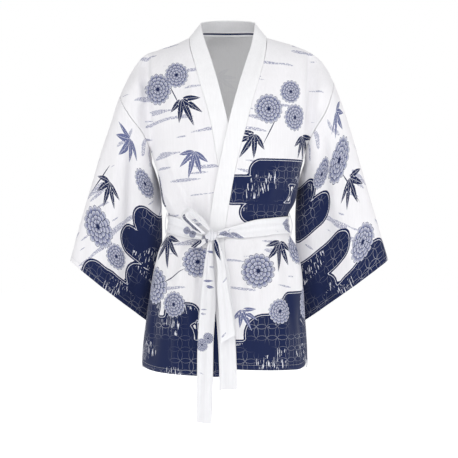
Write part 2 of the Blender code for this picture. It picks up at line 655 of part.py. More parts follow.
def neck_seam(turn):
    """Seam of the back neck at angles from the left shoulder to the right one."""
    x = NECK_HALF * np.cos(turn)
    round_it = np.clip(np.sin(turn), 0, 1)
    z = SHOULDER + NECK_BACK_RISE * (1 - (1 - round_it) ** 1.6)
    y = np.maximum(NECK_BACK_Y * round_it, SEAM_GAP / 2)
    return np.stack([x, y, z], axis=-1)


def band_back():
    """Grid of the band's stretch round the back neck, standing up from its seam."""
    even = np.linspace(0, np.pi, 2 * NECK_COLUMNS + 1)
    turn = np.concatenate([[0.0, 0.03], even[1:-1], [np.pi - 0.03, np.pi]])
    seam = neck_seam(turn)
    free = np.stack(
        [
            COLLAR_HALF * np.cos(turn),
            COLLAR_Y + COLLAR_BACK_Y * np.sin(turn),
            COLLAR_HEIGHT + COLLAR_BACK_RISE * np.sin(turn),
        ],
        axis=-1,
    )
    seam[[0, -1], 1] = SEAM_GAP / 2
    free[[0, -1], 1] += SEAM_GAP / 2
    reach = np.linalg.norm(free - seam, axis=-1, keepdims=True)
    seam = seam + (free - seam) * COLLAR_LIFT / reach
    across = np.array([0.0, 0.06, 0.36, 0.68, 1.0])
    return seam[:, None] + (free - seam)[:, None] * across[None, :, None]


def neck_tape():
    """Grid of the tape inside the back neck: on the band above, on the panel below."""
    turn = np.linspace(TAPE_START, np.pi - TAPE_START, 19)
    seam = neck_seam(turn)
    inward = np.stack([-np.cos(turn), -np.sin(turn), np.zeros_like(turn)], axis=-1)
    free_y = COLLAR_Y + COLLAR_BACK_Y * np.sin(turn)
    free_z = COLLAR_HEIGHT + COLLAR_BACK_RISE * np.sin(turn)
    free = np.stack([COLLAR_HALF * np.cos(turn), free_y, free_z], axis=-1)
    share = TAPE_ABOVE / (free[:, 2:] - seam[:, 2:])
    above = seam + (free - seam) * share + inward * TAPE_OFF
    below = seam + inward * TAPE_OFF * 0.8 - np.array([0.0, 0.0, TAPE_BELOW])
    return np.stack([below, seam + inward * TAPE_OFF, above], axis=1)


def around_waist(angle, z, off):
    """Points on the form at angles round the waist (degrees), moved out by off."""
    turn = np.radians(angle)
    wide = half_width(np.cos(turn), z)
    x = wide * np.cos(turn)
    front = np.sin(turn) < 0
    y = np.where(front, -depth(x, z, "front"), depth(x, z, "back"))
    over_left = wrap_lift(np.maximum(x, 0.0), z) * front
    over_right = WRAP_LIFT * ease((angle - 222) / 22)
    lift = np.where(angle > 100, over_right, over_left)
    away = np.stack([np.cos(turn) * 0.8, np.sin(turn)], axis=-1)
    away = away / np.linalg.norm(away, axis=-1, keepdims=True)
    flat = np.stack([x, y], axis=-1) + away * (off + lift)[..., None]
    return np.concatenate([flat, z[..., None]], axis=-1)


def belt_waist():
    """Grid of the belt round the waist, from the knot's left side to its right side."""
    angle = np.linspace(BELT[0].angle, BELT[-1].angle, 53)
    low = curve(BELT, "angle", "low", angle)
    high = curve(BELT, "angle", "high", angle)
    across = np.linspace(0, 1, 4)
    z = low[:, None] + (high - low)[:, None] * across[None, :]
    from_knot = np.minimum(angle - angle[0], angle[-1] - angle)
    off = BELT_CLEAR + KNOT_RISE * (1 - ease(from_knot / 12.0))
    return around_waist(angle[:, None] + 0 * z, z, off[:, None] + 0 * z)


def hanging(rows, count, across=2, hug=0.3):
    """Grid of a belt end or loop from its table of edges; hug 1 follows the cloth across."""
    at = np.linspace(0, 1, count)
    left_x, left_z = along(rows, "left_x", at), along(rows, "left_z", at)
    right_x, right_z = along(rows, "right_x", at), along(rows, "right_z", at)
    off = along(rows, "off", at)
    share = np.linspace(0, 1, across + 1)[None, :]
    x = left_x[:, None] + (right_x - left_x)[:, None] * share
    z = left_z[:, None] + (right_z - left_z)[:, None] * share
    rest = depth(hug * x, np.maximum(z, BODY[0].height + 0.02), "front")
    y = -(rest + off[:, None])
    return np.stack([x, y, z], axis=-1)


def loop_upper():
    """Ring of the upper bow loop, from its near edge to its far edge."""
    at = np.linspace(0, 1, 21)
    near_x, near_z = along(LOOP_UPPER, "near_x", at), along(LOOP_UPPER, "near_z", at)
    far_x, far_z = along(LOOP_UPPER, "far_x", at), along(LOOP_UPPER, "far_z", at)
    spread = ease(np.sin(np.pi * at) * 1.6)
    near_y = LOOP_ROOT_Y + (LOOP_NEAR_Y - LOOP_ROOT_Y) * spread - 0.004
    far_y = LOOP_ROOT_Y + (LOOP_FAR_Y - LOOP_ROOT_Y) * spread + 0.002
    share = np.linspace(0, 1, 4)[None, :, None]
    near = np.stack([near_x, near_y, near_z], axis=-1)[:, None]
    far = np.stack([far_x, far_y, far_z], axis=-1)[:, None]
    return near + (far - near) * share


def material(name, colour, roughness):
    """Principled material in one colour."""
    made = bpy.data.materials.new(name)
    made.use_nodes = True
    shader = made.node_tree.nodes["Principled BSDF"]
    shader.inputs["Base Color"].default_value = (*colour, 1.0)
    shader.inputs["Roughness"].default_value = roughness
    shader.inputs["Metallic"].default_value = 0.0
    made.diffuse_color = (*colour, 1.0)
    return made


def add_sheet(name, grid, wall, colour, home, round_it=False):
    """Open grid as an object, with Solidify for its wall."""
    rows, columns = grid.shape[:2]
    index = np.arange(rows * columns).reshape(rows, columns)
    if round_it:
        index = np.concatenate([index, index[:, :1]], axis=1)
    faces = np.stack(
        [index[:-1, :-1], index[:-1, 1:], index[1:, 1:], index[1:, :-1]], axis=-1
    ).reshape(-1, 4)
    mesh = bpy.data.meshes.new(name)
    mesh.from_pydata(grid.reshape(-1, 3).tolist(), [], faces.tolist())
    mesh.validate()
    mesh.materials.append(material(name + "_cloth", colour, 0.85))
    thing = bpy.data.objects.new(name, mesh)
    home.objects.link(thing)
    wall_maker = thing.modifiers.new("wall", "SOLIDIFY")
    wall_maker.thickness = wall
    wall_maker.offset = 0.0
    wall_maker.use_rim = True
    mesh.shade_smooth()
    return thing


def add_knot(home):
    """The knot, a round lump of cloth leaning like the belt."""
    bpy.ops.mesh.primitive_uv_sphere_add(segments=18, ring_count=10, radius=1.0)
    knot = bpy.context.active_object
    knot.name = knot.data.name = "belt_knot"
    for home_now in list(knot.users_collection):
        home_now.objects.unlink(knot)
    home.objects.link(knot)
    turn = np.array(
        [
            [math.cos(KNOT_LEAN), 0, -math.sin(KNOT_LEAN)],
            [0, 1, 0],
            [math.sin(KNOT_LEAN), 0, math.cos(KNOT_LEAN)],
        ]
    )
    points = np.array([list(v.co) for v in knot.data.vertices]) * np.array(KNOT_SIZE)
    points = points @ turn.T + np.array(KNOT_CENTRE)
    knot.data.vertices.foreach_set("co", points.astype(np.float32).ravel())
    knot.data.update()
    knot.data.materials.append(material("belt_knot_cloth", PLAIN_WHITE, 0.85))
    knot.data.shade_smooth()
    return knot


def add_carrier(name, angle, home):
    """Thread carrier: a bow of thread from the side seam over the belt and back."""
    low, high = (float(edge) for edge in belt_edges(angle))
    at = np.linspace(0, 1, 13)
    z = high + CARRIER_TOP + (low - CARRIER_FOOT - high - CARRIER_TOP) * at
    off = CARRIER_OFF + CARRIER_REACH * np.sin(np.pi * at)
    points = around_waist(np.full_like(z, angle), z, off)
    line = bpy.data.curves.new(name, "CURVE")
    line.dimensions = "3D"
    line.bevel_depth = CARRIER_THREAD
    line.bevel_resolution = 1
    line.use_fill_caps = True
    spline = line.splines.new("POLY")
    spline.points.add(len(points) - 1)
    for point, place in zip(spline.points, points):
        point.co = (*place, 1.0)
    line.materials.append(material(name + "_thread", THREAD, 0.8))
    thing = bpy.data.objects.new(name, line)
    home.objects.link(thing)
    return thing


def main():
    """Builds the kimono in an empty scene."""
    for thing in list(bpy.data.objects):
        bpy.data.objects.remove(thing, do_unlink=True)
    home = bpy.data.collections.new(NAME)
    bpy.context.scene.collection.children.link(home)

    add_sheet("back", back_panel(), CLOTH, WHITE, home)
    add_sheet("front_right", front_panel("right"), CLOTH, WHITE, home)
    add_sheet("front_left", front_panel("left"), CLOTH, WHITE, home)
    add_sheet("sleeve_right", sleeve("right"), CLOTH, WHITE, home, round_it=True)
    add_sheet("sleeve_left", sleeve("left"), CLOTH, WHITE, home, round_it=True)
    add_sheet("band_right", band_front("right"), BAND_CLOTH, PLAIN_WHITE, home)
    add_sheet("band_left", band_front("left"), BAND_CLOTH, PLAIN_WHITE, home)
    add_sheet("band_back", band_back(), BAND_CLOTH, PLAIN_WHITE, home)
    add_sheet("neck_tape", neck_tape(), TAPE_CLOTH, PLAIN_WHITE, home)
    add_sheet("belt_waist", belt_waist(), BELT_CLOTH, PLAIN_WHITE, home)
    add_knot(home)
    add_sheet("bow_loop_upper", loop_upper(), BELT_CLOTH, PLAIN_WHITE, home)
    add_sheet("bow_loop_lower", hanging(LOOP_LOWER, 27), BELT_CLOTH, PLAIN_WHITE, home)
    add_sheet("bow_flap", hanging(FLAP, 7, hug=1.0), BELT_CLOTH, WHITE, home)
    add_sheet("tail_long", hanging(TAIL_LONG, 17), BELT_CLOTH, PLAIN_WHITE, home)
    add_sheet("tail_short", hanging(TAIL_SHORT, 15), BELT_CLOTH, PLAIN_WHITE, home)
    add_carrier("carrier_left", 0.0, home)
    add_carrier("carrier_right", 180.0, home)


main()
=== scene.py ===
"""Looks for a short wrap kimono in printed cotton, filled out as if worn.

Metres, +Z up, the wearer faces -Y and the wearer's left is at +X. Each piece of cloth is a
grid of points. The form under the cloth gives each point of the front view its depth, and
creases given in tables move the points along their normals.
"""

import functools
import logging
import math
from dataclasses import dataclass
from enum import Enum
from typing import Optional, Protocol, Sequence, Union

import bpy
import numpy as np
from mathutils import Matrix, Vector

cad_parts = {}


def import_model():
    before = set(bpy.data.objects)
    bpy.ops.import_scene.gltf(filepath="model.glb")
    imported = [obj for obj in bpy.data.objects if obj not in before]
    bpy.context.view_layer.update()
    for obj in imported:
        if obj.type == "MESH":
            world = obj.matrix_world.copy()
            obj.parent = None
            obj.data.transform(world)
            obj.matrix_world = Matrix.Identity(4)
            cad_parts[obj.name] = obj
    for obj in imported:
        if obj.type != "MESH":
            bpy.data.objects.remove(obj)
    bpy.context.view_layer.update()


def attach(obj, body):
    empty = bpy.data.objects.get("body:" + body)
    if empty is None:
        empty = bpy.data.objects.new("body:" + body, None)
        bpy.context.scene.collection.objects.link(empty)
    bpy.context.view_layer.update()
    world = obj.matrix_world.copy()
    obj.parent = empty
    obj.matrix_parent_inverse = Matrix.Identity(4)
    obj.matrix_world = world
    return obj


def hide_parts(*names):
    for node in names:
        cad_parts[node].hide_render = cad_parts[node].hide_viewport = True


log = logging.getLogger("kimono")

Socket = bpy.types.NodeSocket
Value = Union[Socket, float, Sequence[float]]

# Cloth
CLOTH = 0.0012
BAND_CLOTH = 0.0022
BELT_CLOTH = 0.0019
TAPE_CLOTH = 0.0010
SEAM_GAP = 0.0004
SLEEVE_GAP = 0.0010
ARMPIT_EASE = 0.0022
ARMPIT_ROUND = 0.0019
HEM_TURN = 0.012
CREASE_FREE = 0.03
FRONT_HEM = -0.755
LEVEL_TOP = 0.0375
SLEEVE_PLAN_TOP = 0.16
STREAK_SLOPE = 0.12
RING_CELL = 0.025
STREAK_LEAN = math.radians(32)

# Shoulder, neck and armpit
SHOULDER = 0.0037
ARMPIT = -0.270
NECK_HALF = 0.0885
NECK_BACK_RISE = 0.0188
NECK_BACK_Y = 0.0757
NECK_DOME = 0.066
NECK_SLOPE = 0.46
COLLAR_LIFT = 0.0014
COLLAR_HALF = 0.0620
COLLAR_HEIGHT = 0.0400
COLLAR_BACK_RISE = 0.0135
COLLAR_Y = 0.012
COLLAR_BACK_Y = 0.046

# The oval under the cloth, and the upper arm
FULLNESS = 0.18
FRONT_DROP = 0.200
BACK_DROP = 0.150
ARM_DROP = 0.050
ARM_MARGIN = 0.018
ARM_START = 0.045
WRAP_LIFT = 0.0036

# Belt
BELT_CLEAR = 0.0034
KNOT_RISE = 0.0085
KNOT_CENTRE = (-0.0374, -0.1205, -0.4500)
KNOT_SIZE = (0.0135, 0.0090, 0.0118)
KNOT_LEAN = math.radians(24)
GATHER_HEIGHT = 0.0026
GATHER_REACH = 0.085
BELT_TURN_END = 254.0

# Belt carriers: how far over the belt, down, and off the side seam
CARRIER_OVER = 0.006
CARRIER_REACH = 0.0115
CARRIER_ROOT = 0.0024
CARRIER_BULGE = 0.0084
THREAD_HALF = 0.0007

# The photo's camera, and the floor
CAMERA_AT = (0.0023, -3.0, -0.4347)
CAMERA_SPAN = 1.0534
CAMERA_SENSOR = 36.0
FLOOR_HALF = 9.0


class Side(Enum):
    """The wearer's side, with the sign of x there."""

    RIGHT = -1
    LEFT = 1

    @property
    def word(self) -> str:
        """The side as a lower-case word."""
        return self.name.lower()


class Face(Enum):
    """Front or back of the garment."""

    FRONT = "front"
    BACK = "back"


def read_rows(text: str, per: Sequence[float]) -> np.ndarray:
    """Rows of numbers from text, each column divided by its own number.

    Args:
        text: the numbers, with spaces or commas between.
        per: what each column is divided by, such as 1000 for millimetres.

    Returns:
        An array with one column for each number of per.
    """
    return np.array(text.replace(",", " ").split(), float).reshape(-1, len(per)) / np.array(per)


class Table:
    """Rows of real sizes with named columns, read along a smooth curve."""

    def __init__(self, columns: str, text: str, per: Sequence[float] = ()) -> None:
        """Reads the rows, which are in the order of the first column.

        Args:
            columns: the column names, with a space between.
            text: the rows, in thousandths unless per says otherwise.
            per: what each column is divided by.
        """
        self.names = columns.split()
        self.values = read_rows(text, per or [1000] * len(self.names))

    def at(self, name: str, key: np.ndarray) -> np.ndarray:
        """Value of a column where the first column has the value key.

        Args:
            name: the column.
            key: one or many values of the first column.

        Returns:
            An array shaped like key.
        """
        keys = self.values[:, 0]
        column = self.values[:, self.names.index(name)]
        slopes = np.gradient(column, keys)
        key = np.clip(np.asarray(key, float), keys[0], keys[-1])
        low = np.clip(np.searchsorted(keys, key, side="right") - 1, 0, len(keys) - 2)
        step = keys[low + 1] - keys[low]
        t = (key - keys[low]) / step
        return (
            column[low] * (2 * t**3 - 3 * t**2 + 1)
            + slopes[low] * step * (t**3 - 2 * t**2 + t)
            + column[low + 1] * (3 * t**2 - 2 * t**3)
            + slopes[low + 1] * step * (t**3 - t**2)
        )


def by_row(columns: str, text: str) -> Table:
    """Table with an added first column, "share": how far through its rows each one is."""
    table = Table(columns, text)
    table.names.insert(0, "share")
    share = np.linspace(0, 1, len(table.values))
    table.values = np.column_stack([share, table.values])
    return table


# Tables are in thousandths: millimetres, or shares of 1000
BODY = Table("height right left front back", """
-775 198.5 183.5 139 130
-700 194.5 181 135 127
-640 187 177 129 122
-560 175.5 171.5 121 114
-510 165.5 165 114 107
-475 155.5 154.5 107 100
-445 140 140.5 100 92
-420 133.5 136.5 97 88
-400 136.5 138.5 98 89
-375 149 152 102 93
-340 155 160.5 106 98
-300 162.5 166.5 110 102
-270 172.5 173.5 112 104
-200 182 182 112 106
-130 192 192 109 105
-60 200 200 108 104
80 205 205 108 104
""")
RIDGE = Table("out right left", """
88.5 3.7 3.7
118 -10 -4.5
160 -24.4 -17.5
195.5 -40 -34.5
216.7 -66.7 -53
234.6 -100 -82
245 -123 -106
256.5 -156 -134.6
270 -203 -172
""")
ARM = Table("height out_right out_left inner thick", """
-270 289 299 173 50
-205 270.7 280 156 54
-171 262.2 269.7 145 55
-123 245 252.5 130 52
-85 226.5 236 120 40
-50 204 214 110 24
-20 147 167 95 4
10 100 100 90 1
""")
ARMHOLE = Table("share out_right height_right out_left height_left", """
0 172.5 -270 173.5 -270
170 180 -246 180 -245
450 198 -209 198.5 -206
620 218 -184 220 -170
820 238 -152 236 -125
1000 247.5 -129.5 241.5 -97.5
""")
BAND_UNDER = Table("seam_z seam_x edge_x edge_z edge_y on_form", """
-760 12 51 -760 -110 1000
-620 10 49 -620 -110 1000
-520 8 47 -520 -110 1000
-450 6 45 -449 -110 1000
-410 0 39 -407 -110 1000
-340 -12 27 -333 -110 1000
-270.9 -25.6 13 -262 -110 1000
-212.2 -35.4 1.5 -203 -108 1000
-175.9 -43.5 -8 -164 -103 600
-111.8 -61.8 -24 -100 -88 200
-55.7 -77.1 -40.5 -44 -65 0
-24 -86 -53 -5 -40 0
-5 -88.4 -60.2 25 -13 0
3.7 -88.5 -62 40 11 0
""")
BAND_OVER = Table("seam_z seam_x edge_x edge_z edge_y on_form", """
-760 19.9 -18.5 -760 -110 1000
-672.3 15.9 -22.5 -672.3 -110 1000
-615.4 10 -27 -615.4 -110 1000
-560 3.4 -33 -560 -110 1000
-518.4 -3.5 -39.7 -518.4 -110 1000
-452.5 -7 -44.3 -452.4 -110 1000
-413 -3 -40 -411 -110 1000
-360 6 -32 -358 -110 1000
-315.2 14 -23.5 -312 -110 1000
-259.8 25.8 -11.5 -254 -110 1000
-208.3 40 1 -199 -109 1000
-160 52.2 13 -152 -102 600
-112 66 26.5 -103.5 -90 200
-65 79 42 -53 -68 0
-27.8 86.5 55 -8 -39 0
-5 88.4 60.4 26 -12 0
3.7 88.5 62 40 11 0
""")
SIDE_TURN = Table("height right left", """
-775 0 0
-560 50 0
-475 160 0
-400 260 0
-350 240 0
-310 120 0
-270 0 0
80 0 0
""")
HEM = Table("share right left back", """
0 -732 -706 -737
40 -740 -714 -750
100 -744 -727 -755.5
200 -748 -741 -758
320 -751.5 -748 -760
500 -755 -748 -762
800 -757.5 -745.5 -762
930 -756 -744 -762
1000 -738.5 -743 -762
""")
BELT = Table("angle low high", """
-99.45 -455.5 -441
-93 -453 -434.7
-80 -455 -424.5
-66 -452.5 -415
-45 -447.5 -409.8
0 -444 -404.8
90 -444 -405
180 -440 -402.5
219 -449.4 -412.1
240 -456 -429
248.5 -457.5 -437
""", per=(1, 1000, 1000))
BELT_ENDS = (-99.45, 248.5)
ROW_HEIGHTS = read_rows("""
-760 -700 -640 -585 -540 -508 -484 -466 -450 -436 -422 -408 -394 -376 -350 -312 -270
""", (1000,))[:, 0]
SLEEVE_COLUMNS = "share out_x out_z out_y in_x in_z in_y thick"
SLEEVES = {
    Side.RIGHT: Table(SLEEVE_COLUMNS, """
0 247.5 -129.5 0 176.5 -268 0 50
60 256 -153 1 176.5 -280 7 52
140 266.5 -186 2 171 -296 22 53
300 288.5 -249 4 159 -340 42 52
500 314 -333 8 154.5 -410 46 49
700 337 -409 13 156 -495 56 46
880 356 -476 18 168 -590 68 43
1000 364.9 -508 20 176 -660 74 41
"""),
    Side.LEFT: Table(SLEEVE_COLUMNS, """
0 241.5 -97.5 0 177.5 -268 0 50
60 251 -122 1 177.5 -280 7 52
140 264 -156 2 172.5 -296 22 53
300 288 -230 4 162 -340 42 52
500 315 -323 8 157.5 -410 46 49
700 340 -406 13 160 -495 56 46
880 361 -476 18 167 -585 66 43
1000 370.4 -506 20 175 -652 70 41
"""),
}
TAIL_LONG = """
-43 -462.8 -35 -462.6 15
-47 -485 -33 -485 11.5
-52.8 -520 -31.8 -520 10.5
-60.2 -590 -26.4 -590 10.5
-66.2 -678 -31.5 -678 10.5
-67.6 -754 -32.7 -754 10.5
-67.8 -810 -34.2 -810 10.5
-67.6 -857.5 -36 -861 10.5
"""
TAIL_SHORT = """
-34.5 -461.8 -27 -458.2 12.4
-28.5 -485 -11 -485 9
-24 -520 1 -520 8.5
-21.5 -590 7.5 -590 8.5
-19.1 -684 16.5 -684 8.5
-19.1 -740 19 -740 8.5
-19.1 -787 20.2 -785 8.5
"""
LOOP_LOWER = """
-33.5 -461.9 -24.5 -456.6 19
-27.5 -490 -12 -486 21.2
-22.5 -525 -6 -520 23.5
-23.5 -570 0 -562 25
-19.5 -625 9 -613 25
-17.2 -664 13.8 -648 24
-16.7 -680 15.4 -662 21
-16.6 -683.4 15.7 -665.5 18
-16 -679 15.8 -661.5 15
-14 -660 15.5 -646 13
-12 -620 12 -610 12.5
-16 -560 3 -555 12.5
-21 -500 -8 -498 12.5
-31 -462.5 -22.5 -458.5 15.2
"""
FLAP = """
-51.5 -456 -48.5 -464.5 15
-64 -460.6 -61 -474 10.4
-74 -468 -70 -476 8.5
-81.5 -473 -80.5 -475 8.5
"""
LOOP_UPPER = by_row("near_x near_z far_x far_z", """
-42 -438.5 -38.5 -436
-57.5 -424 -54 -413
-74 -409 -72 -397
-84.5 -399 -86 -388
-89 -399 -93.5 -392
-90.5 -404 -101 -403
-86 -411 -102.5 -411
-76 -421 -92 -422
-63 -432.5 -74 -435
-49.5 -443 -52 -446.5
""")
LOOP_NEAR_Y = -0.1340
LOOP_FAR_Y = -0.1135
LOOP_ROOT_Y = -0.1200
TAPE_BELOW = 0.0058
TAPE_ABOVE = 0.0060
TAPE_WIDTH = 0.0118
TAPE_OFF = 0.0031
TAPE_START = 0.35


def ease(t: np.ndarray) -> np.ndarray:
    """Smooth step from 0 to 1."""
    t = np.clip(t, 0.0, 1.0)
    return t * t * (3 - 2 * t)


class Form:
    """The filled-out form under the cloth, read as a depth over the front view."""

    @staticmethod
    def half_width(x: np.ndarray, z: np.ndarray) -> np.ndarray:
        """Half width of the form at a height, on the side where x lies."""
        return np.where(np.asarray(x) < 0, BODY.at("right", z), BODY.at("left", z))

    @staticmethod
    def ridge(x: np.ndarray, face: Face) -> np.ndarray:
        """Height of the shoulder line over x, carried on over the neck for each face."""
        out = np.abs(x)
        height = np.where(np.asarray(x) < 0, RIDGE.at("right", out), RIDGE.at("left", out))
        dome = np.sqrt(np.clip(1 - (out / NECK_HALF) ** 2, 0, 1)) * NECK_DOME
        rise = dome if face is Face.BACK else NECK_SLOPE * (NECK_HALF - out)
        return np.where(out < NECK_HALF, SHOULDER + rise, height)

    @classmethod
    def depth(cls, x: np.ndarray, z: np.ndarray, face: Face) -> np.ndarray:
        """How far the form reaches from the plane y = 0 at a point of the front view.

        The torso is an oval across that rises from the shoulder line on a quarter round.
        The arm is an oval between its inner and outer side. The larger one wins, and the
        fourth powers are added so that the two join in a soft crease.
        """
        across = np.clip(np.abs(x) / cls.half_width(x, z), 0, 1)
        drop = FRONT_DROP if face is Face.FRONT else BACK_DROP
        top = cls.ridge(x, face) - z
        below = np.clip(top / drop, 0, 1)
        torso = BODY.at(face.value, z) * np.sqrt(1 - across**2)
        torso = torso * (1 + FULLNESS * across**2) * np.sqrt(1 - (1 - below) ** 2)
        out = np.where(np.asarray(x) < 0, ARM.at("out_right", z), ARM.at("out_left", z))
        out = out + ARM_MARGIN
        inner = ARM.at("inner", z)
        place = np.clip((2 * np.abs(x) - out - inner) / (out - inner), -1, 1)
        near_top = np.clip(top / ARM_DROP, 0, 1)
        arm = ARM.at("thick", z) * np.sqrt(1 - place**2)
        arm = arm * np.sqrt(1 - (1 - near_top) ** 2)
        arm = arm * np.sin(np.pi / 2 * np.clip((z - ARMPIT) / ARM_START, 0, 1))
        return (torso**4 + arm**4) ** 0.25

    @classmethod
    def wrap_lift(cls, x: np.ndarray, z: np.ndarray) -> np.ndarray:
        """How far the over front lies off the form: full by the overlap, none at the side."""
        near = ease((0.80 - x / cls.half_width(1.0, z)) / 0.55)
        return WRAP_LIFT * near * ease((-0.03 - z) / 0.12)

    @classmethod
    def around(cls, angle: np.ndarray, z: np.ndarray, off: np.ndarray) -> np.ndarray:
        """Points round the waist at angles in degrees, moved out by off."""
        turn = np.radians(angle)
        x = cls.half_width(np.cos(turn), z) * np.cos(turn)
        front = np.sin(turn) < 0
        y = np.where(front, -cls.depth(x, z, Face.FRONT), cls.depth(x, z, Face.BACK))
        over_left = cls.wrap_lift(np.maximum(x, 0.0), z) * front
        over_right = WRAP_LIFT * ease((angle - 222) / 22)
        lift = np.where(angle > 100, over_right, over_left)
        away = np.stack([np.cos(turn) * 0.8, np.sin(turn)], axis=-1)
        away = away / np.linalg.norm(away, axis=-1, keepdims=True)
        flat = np.stack([x, y], axis=-1) + away * (off + lift)[..., None]
        return np.concatenate([flat, z[..., None]], axis=-1)


def armhole(side: Side, share: np.ndarray) -> np.ndarray:
    """Armhole seam in the front view at shares from the armpit to the shoulder line."""
    x = ARMHOLE.at(f"out_{side.word}", share)
    z = ARMHOLE.at(f"height_{side.word}", share)
    end = ARMHOLE.at(f"height_{side.word}", 1.0)
    tip = side.value * ARMHOLE.at(f"out_{side.word}", 1.0)
    top = Form.ridge(tip, Face.FRONT)
    return np.stack([side.value * x, z + (top - end) * share**4], axis=-1)


def neck_seam(turn: np.ndarray) -> np.ndarray:
    """Seam of the back neck at angles from the left shoulder to the right one."""
    round_it = np.clip(np.sin(turn), 0, 1)
    z = SHOULDER + NECK_BACK_RISE * (1 - (1 - round_it) ** 1.6)
    y = np.maximum(NECK_BACK_Y * round_it, SEAM_GAP / 2)
    return np.stack([NECK_HALF * np.cos(turn), y, z], axis=-1)


def gathers(angle: np.ndarray, z: np.ndarray, waves: float, share: np.ndarray) -> np.ndarray:
    """Soft waves over and under the belt: none beneath it and none at the seams."""
    turned = np.where(angle > BELT_TURN_END, angle - 360.0, angle)
    low, high = BELT.at("low", turned), BELT.at("high", turned)
    under = (low - z) / GATHER_REACH
    over = (z - high) / (0.7 * GATHER_REACH)
    away = np.maximum(under, over)
    swell = np.where(away > 0, np.sin(np.pi * np.clip(away, 0, 1) ** 0.6) ** 2, 0.0)
    swell = swell * np.where(over > under, 0.6, 1.0)
    ends = np.clip(np.sin(np.pi * share), 0, 1) ** 0.5
    return GATHER_HEIGHT * swell * ends * np.sin(2 * np.pi * waves * share + 0.6)


def normals(grid: np.ndarray, outward: np.ndarray) -> np.ndarray:
    """Unit normals of a grid, turned to the side that outward points to.

    Args:
        grid: rows, columns, xyz.
        outward: a direction for each point, or one for all.

    Returns:
        An array shaped like grid.
    """
    down = np.gradient(grid, axis=0)
    across = np.gradient(grid, axis=1)
    normal = np.cross(down, across)
    length = np.linalg.norm(normal, axis=-1, keepdims=True)
    normal = normal / np.maximum(length, 1e-12)
    turn = np.sign(np.sum(normal * outward, axis=-1, keepdims=True))
    return normal * np.where(turn == 0, 1.0, turn)


@dataclass(frozen=True)
class Crease:
    """A soft ridge or trough on a straight axis.

    Attributes:
        start, end: its ends in the piece's own plan (front view in metres, or shares).
        width: half width of the swell.
        height: how far it stands out; a trough is negative.
        skew: 0 is even on both sides, and near 1 one side falls off sharply.
    """

    start: tuple[float, float]
    end: tuple[float, float]
    width: float
    height: float
    skew: float = 0.0

    def swell(self, plan: np.ndarray) -> np.ndarray:
        """Height at each point of the plan: a bell across, eased in and out along."""
        a, b = np.array(self.start), np.array(self.end)
        axis = (b - a) / np.linalg.norm(b - a)
        from_start = plan - a
        along = from_start @ axis / np.linalg.norm(b - a)
        across = from_start @ np.array([-axis[1], axis[0]])
        width = np.where(across > 0, self.width, self.width * (1 - 0.7 * self.skew))
        bell = np.exp(-((across / width) ** 2))
        return self.height * bell * ease(along / 0.3) * ease((1 - along) / 0.3)


def folds(text: str) -> tuple[Crease, ...]:
    """Creases from rows of start, end, half width, height and skew, in thousandths."""
    rows = read_rows(text, [1000] * 7).tolist()
    return tuple(Crease((a, b), (c, d), *rest) for a, b, c, d, *rest in rows)


@dataclass
class Sheet:
    """One piece of cloth as a grid.

    Attributes:
        grid: rows, columns, xyz.
        flat: the same rows and columns (one more column on a tube) on the flat cloth.
        hem: distance to the nearest hem, for its stitching, where it has one.
        tube: whether the last column joins the first.
        streaks: like flat, along and across the print's streaks, where they are turned.
    """

    grid: np.ndarray
    flat: np.ndarray
    hem: Optional[np.ndarray] = None
    tube: bool = False
    streaks: Optional[np.ndarray] = None


class Maker(Protocol):
    """A sub-assembly that makes one sheet."""

    def sheet(self) -> Sheet:
        """The piece of cloth, with its flat plan."""


def edge_distance(grid: np.ndarray) -> np.ndarray:
    """Distance along each column from its first row."""
    step = np.linalg.norm(np.diff(grid, axis=0), axis=-1)
    return np.concatenate([np.zeros((1, grid.shape[1])), np.cumsum(step, axis=0)], axis=0)


def lay_flat(grid: np.ndarray) -> np.ndarray:
    """Flat place of each point: across from the first column, down from the last row."""
    across = edge_distance(grid.swapaxes(0, 1)).swapaxes(0, 1)
    return np.stack([across, edge_distance(grid[::-1])[::-1]], axis=-1)


def fine_shares(count: int, strip: float) -> np.ndarray:
    """Even shares from 0 to 1 with one narrow strip at each end."""
    even = np.linspace(0, 1, count + 1)
    return np.concatenate([[0.0, strip], even[1:-1], [1 - strip, 1.0]])


def panel_rows(lower_count: int, upper_count: int) -> tuple[np.ndarray, np.ndarray]:
    """Shares of the rows from hem to armpit, and from armpit to shoulder."""
    at = np.linspace(0, len(ROW_HEIGHTS) - 1, lower_count)
    heights = np.interp(at, np.arange(len(ROW_HEIGHTS)), ROW_HEIGHTS)
    lower = (heights - heights[0]) / (heights[-1] - heights[0])
    turn = np.linspace(0, math.pi, upper_count)[1:-1]
    upper = np.concatenate([(1 - np.cos(turn)) / 2, [0.9992, 1.0]])
    return lower, upper


def coons(
    bottom: np.ndarray,
    top: np.ndarray,
    start: np.ndarray,
    end: np.ndarray,
    u: np.ndarray,
    v: np.ndarray,
) -> np.ndarray:
    """Grid in the front view, blended from its four border curves."""
    u, v = u[None, :, None], v[:, None, None]
    bottom, top, start, end = bottom[None], top[None], start[:, None], end[:, None]
    corners = (
        (1 - u) * (1 - v) * bottom[:, :1]
        + u * (1 - v) * bottom[:, -1:]
        + (1 - u) * v * top[:, :1]
        + u * v * top[:, -1:]
    )
    return (1 - v) * bottom + v * top + (1 - u) * start + u * end - corners


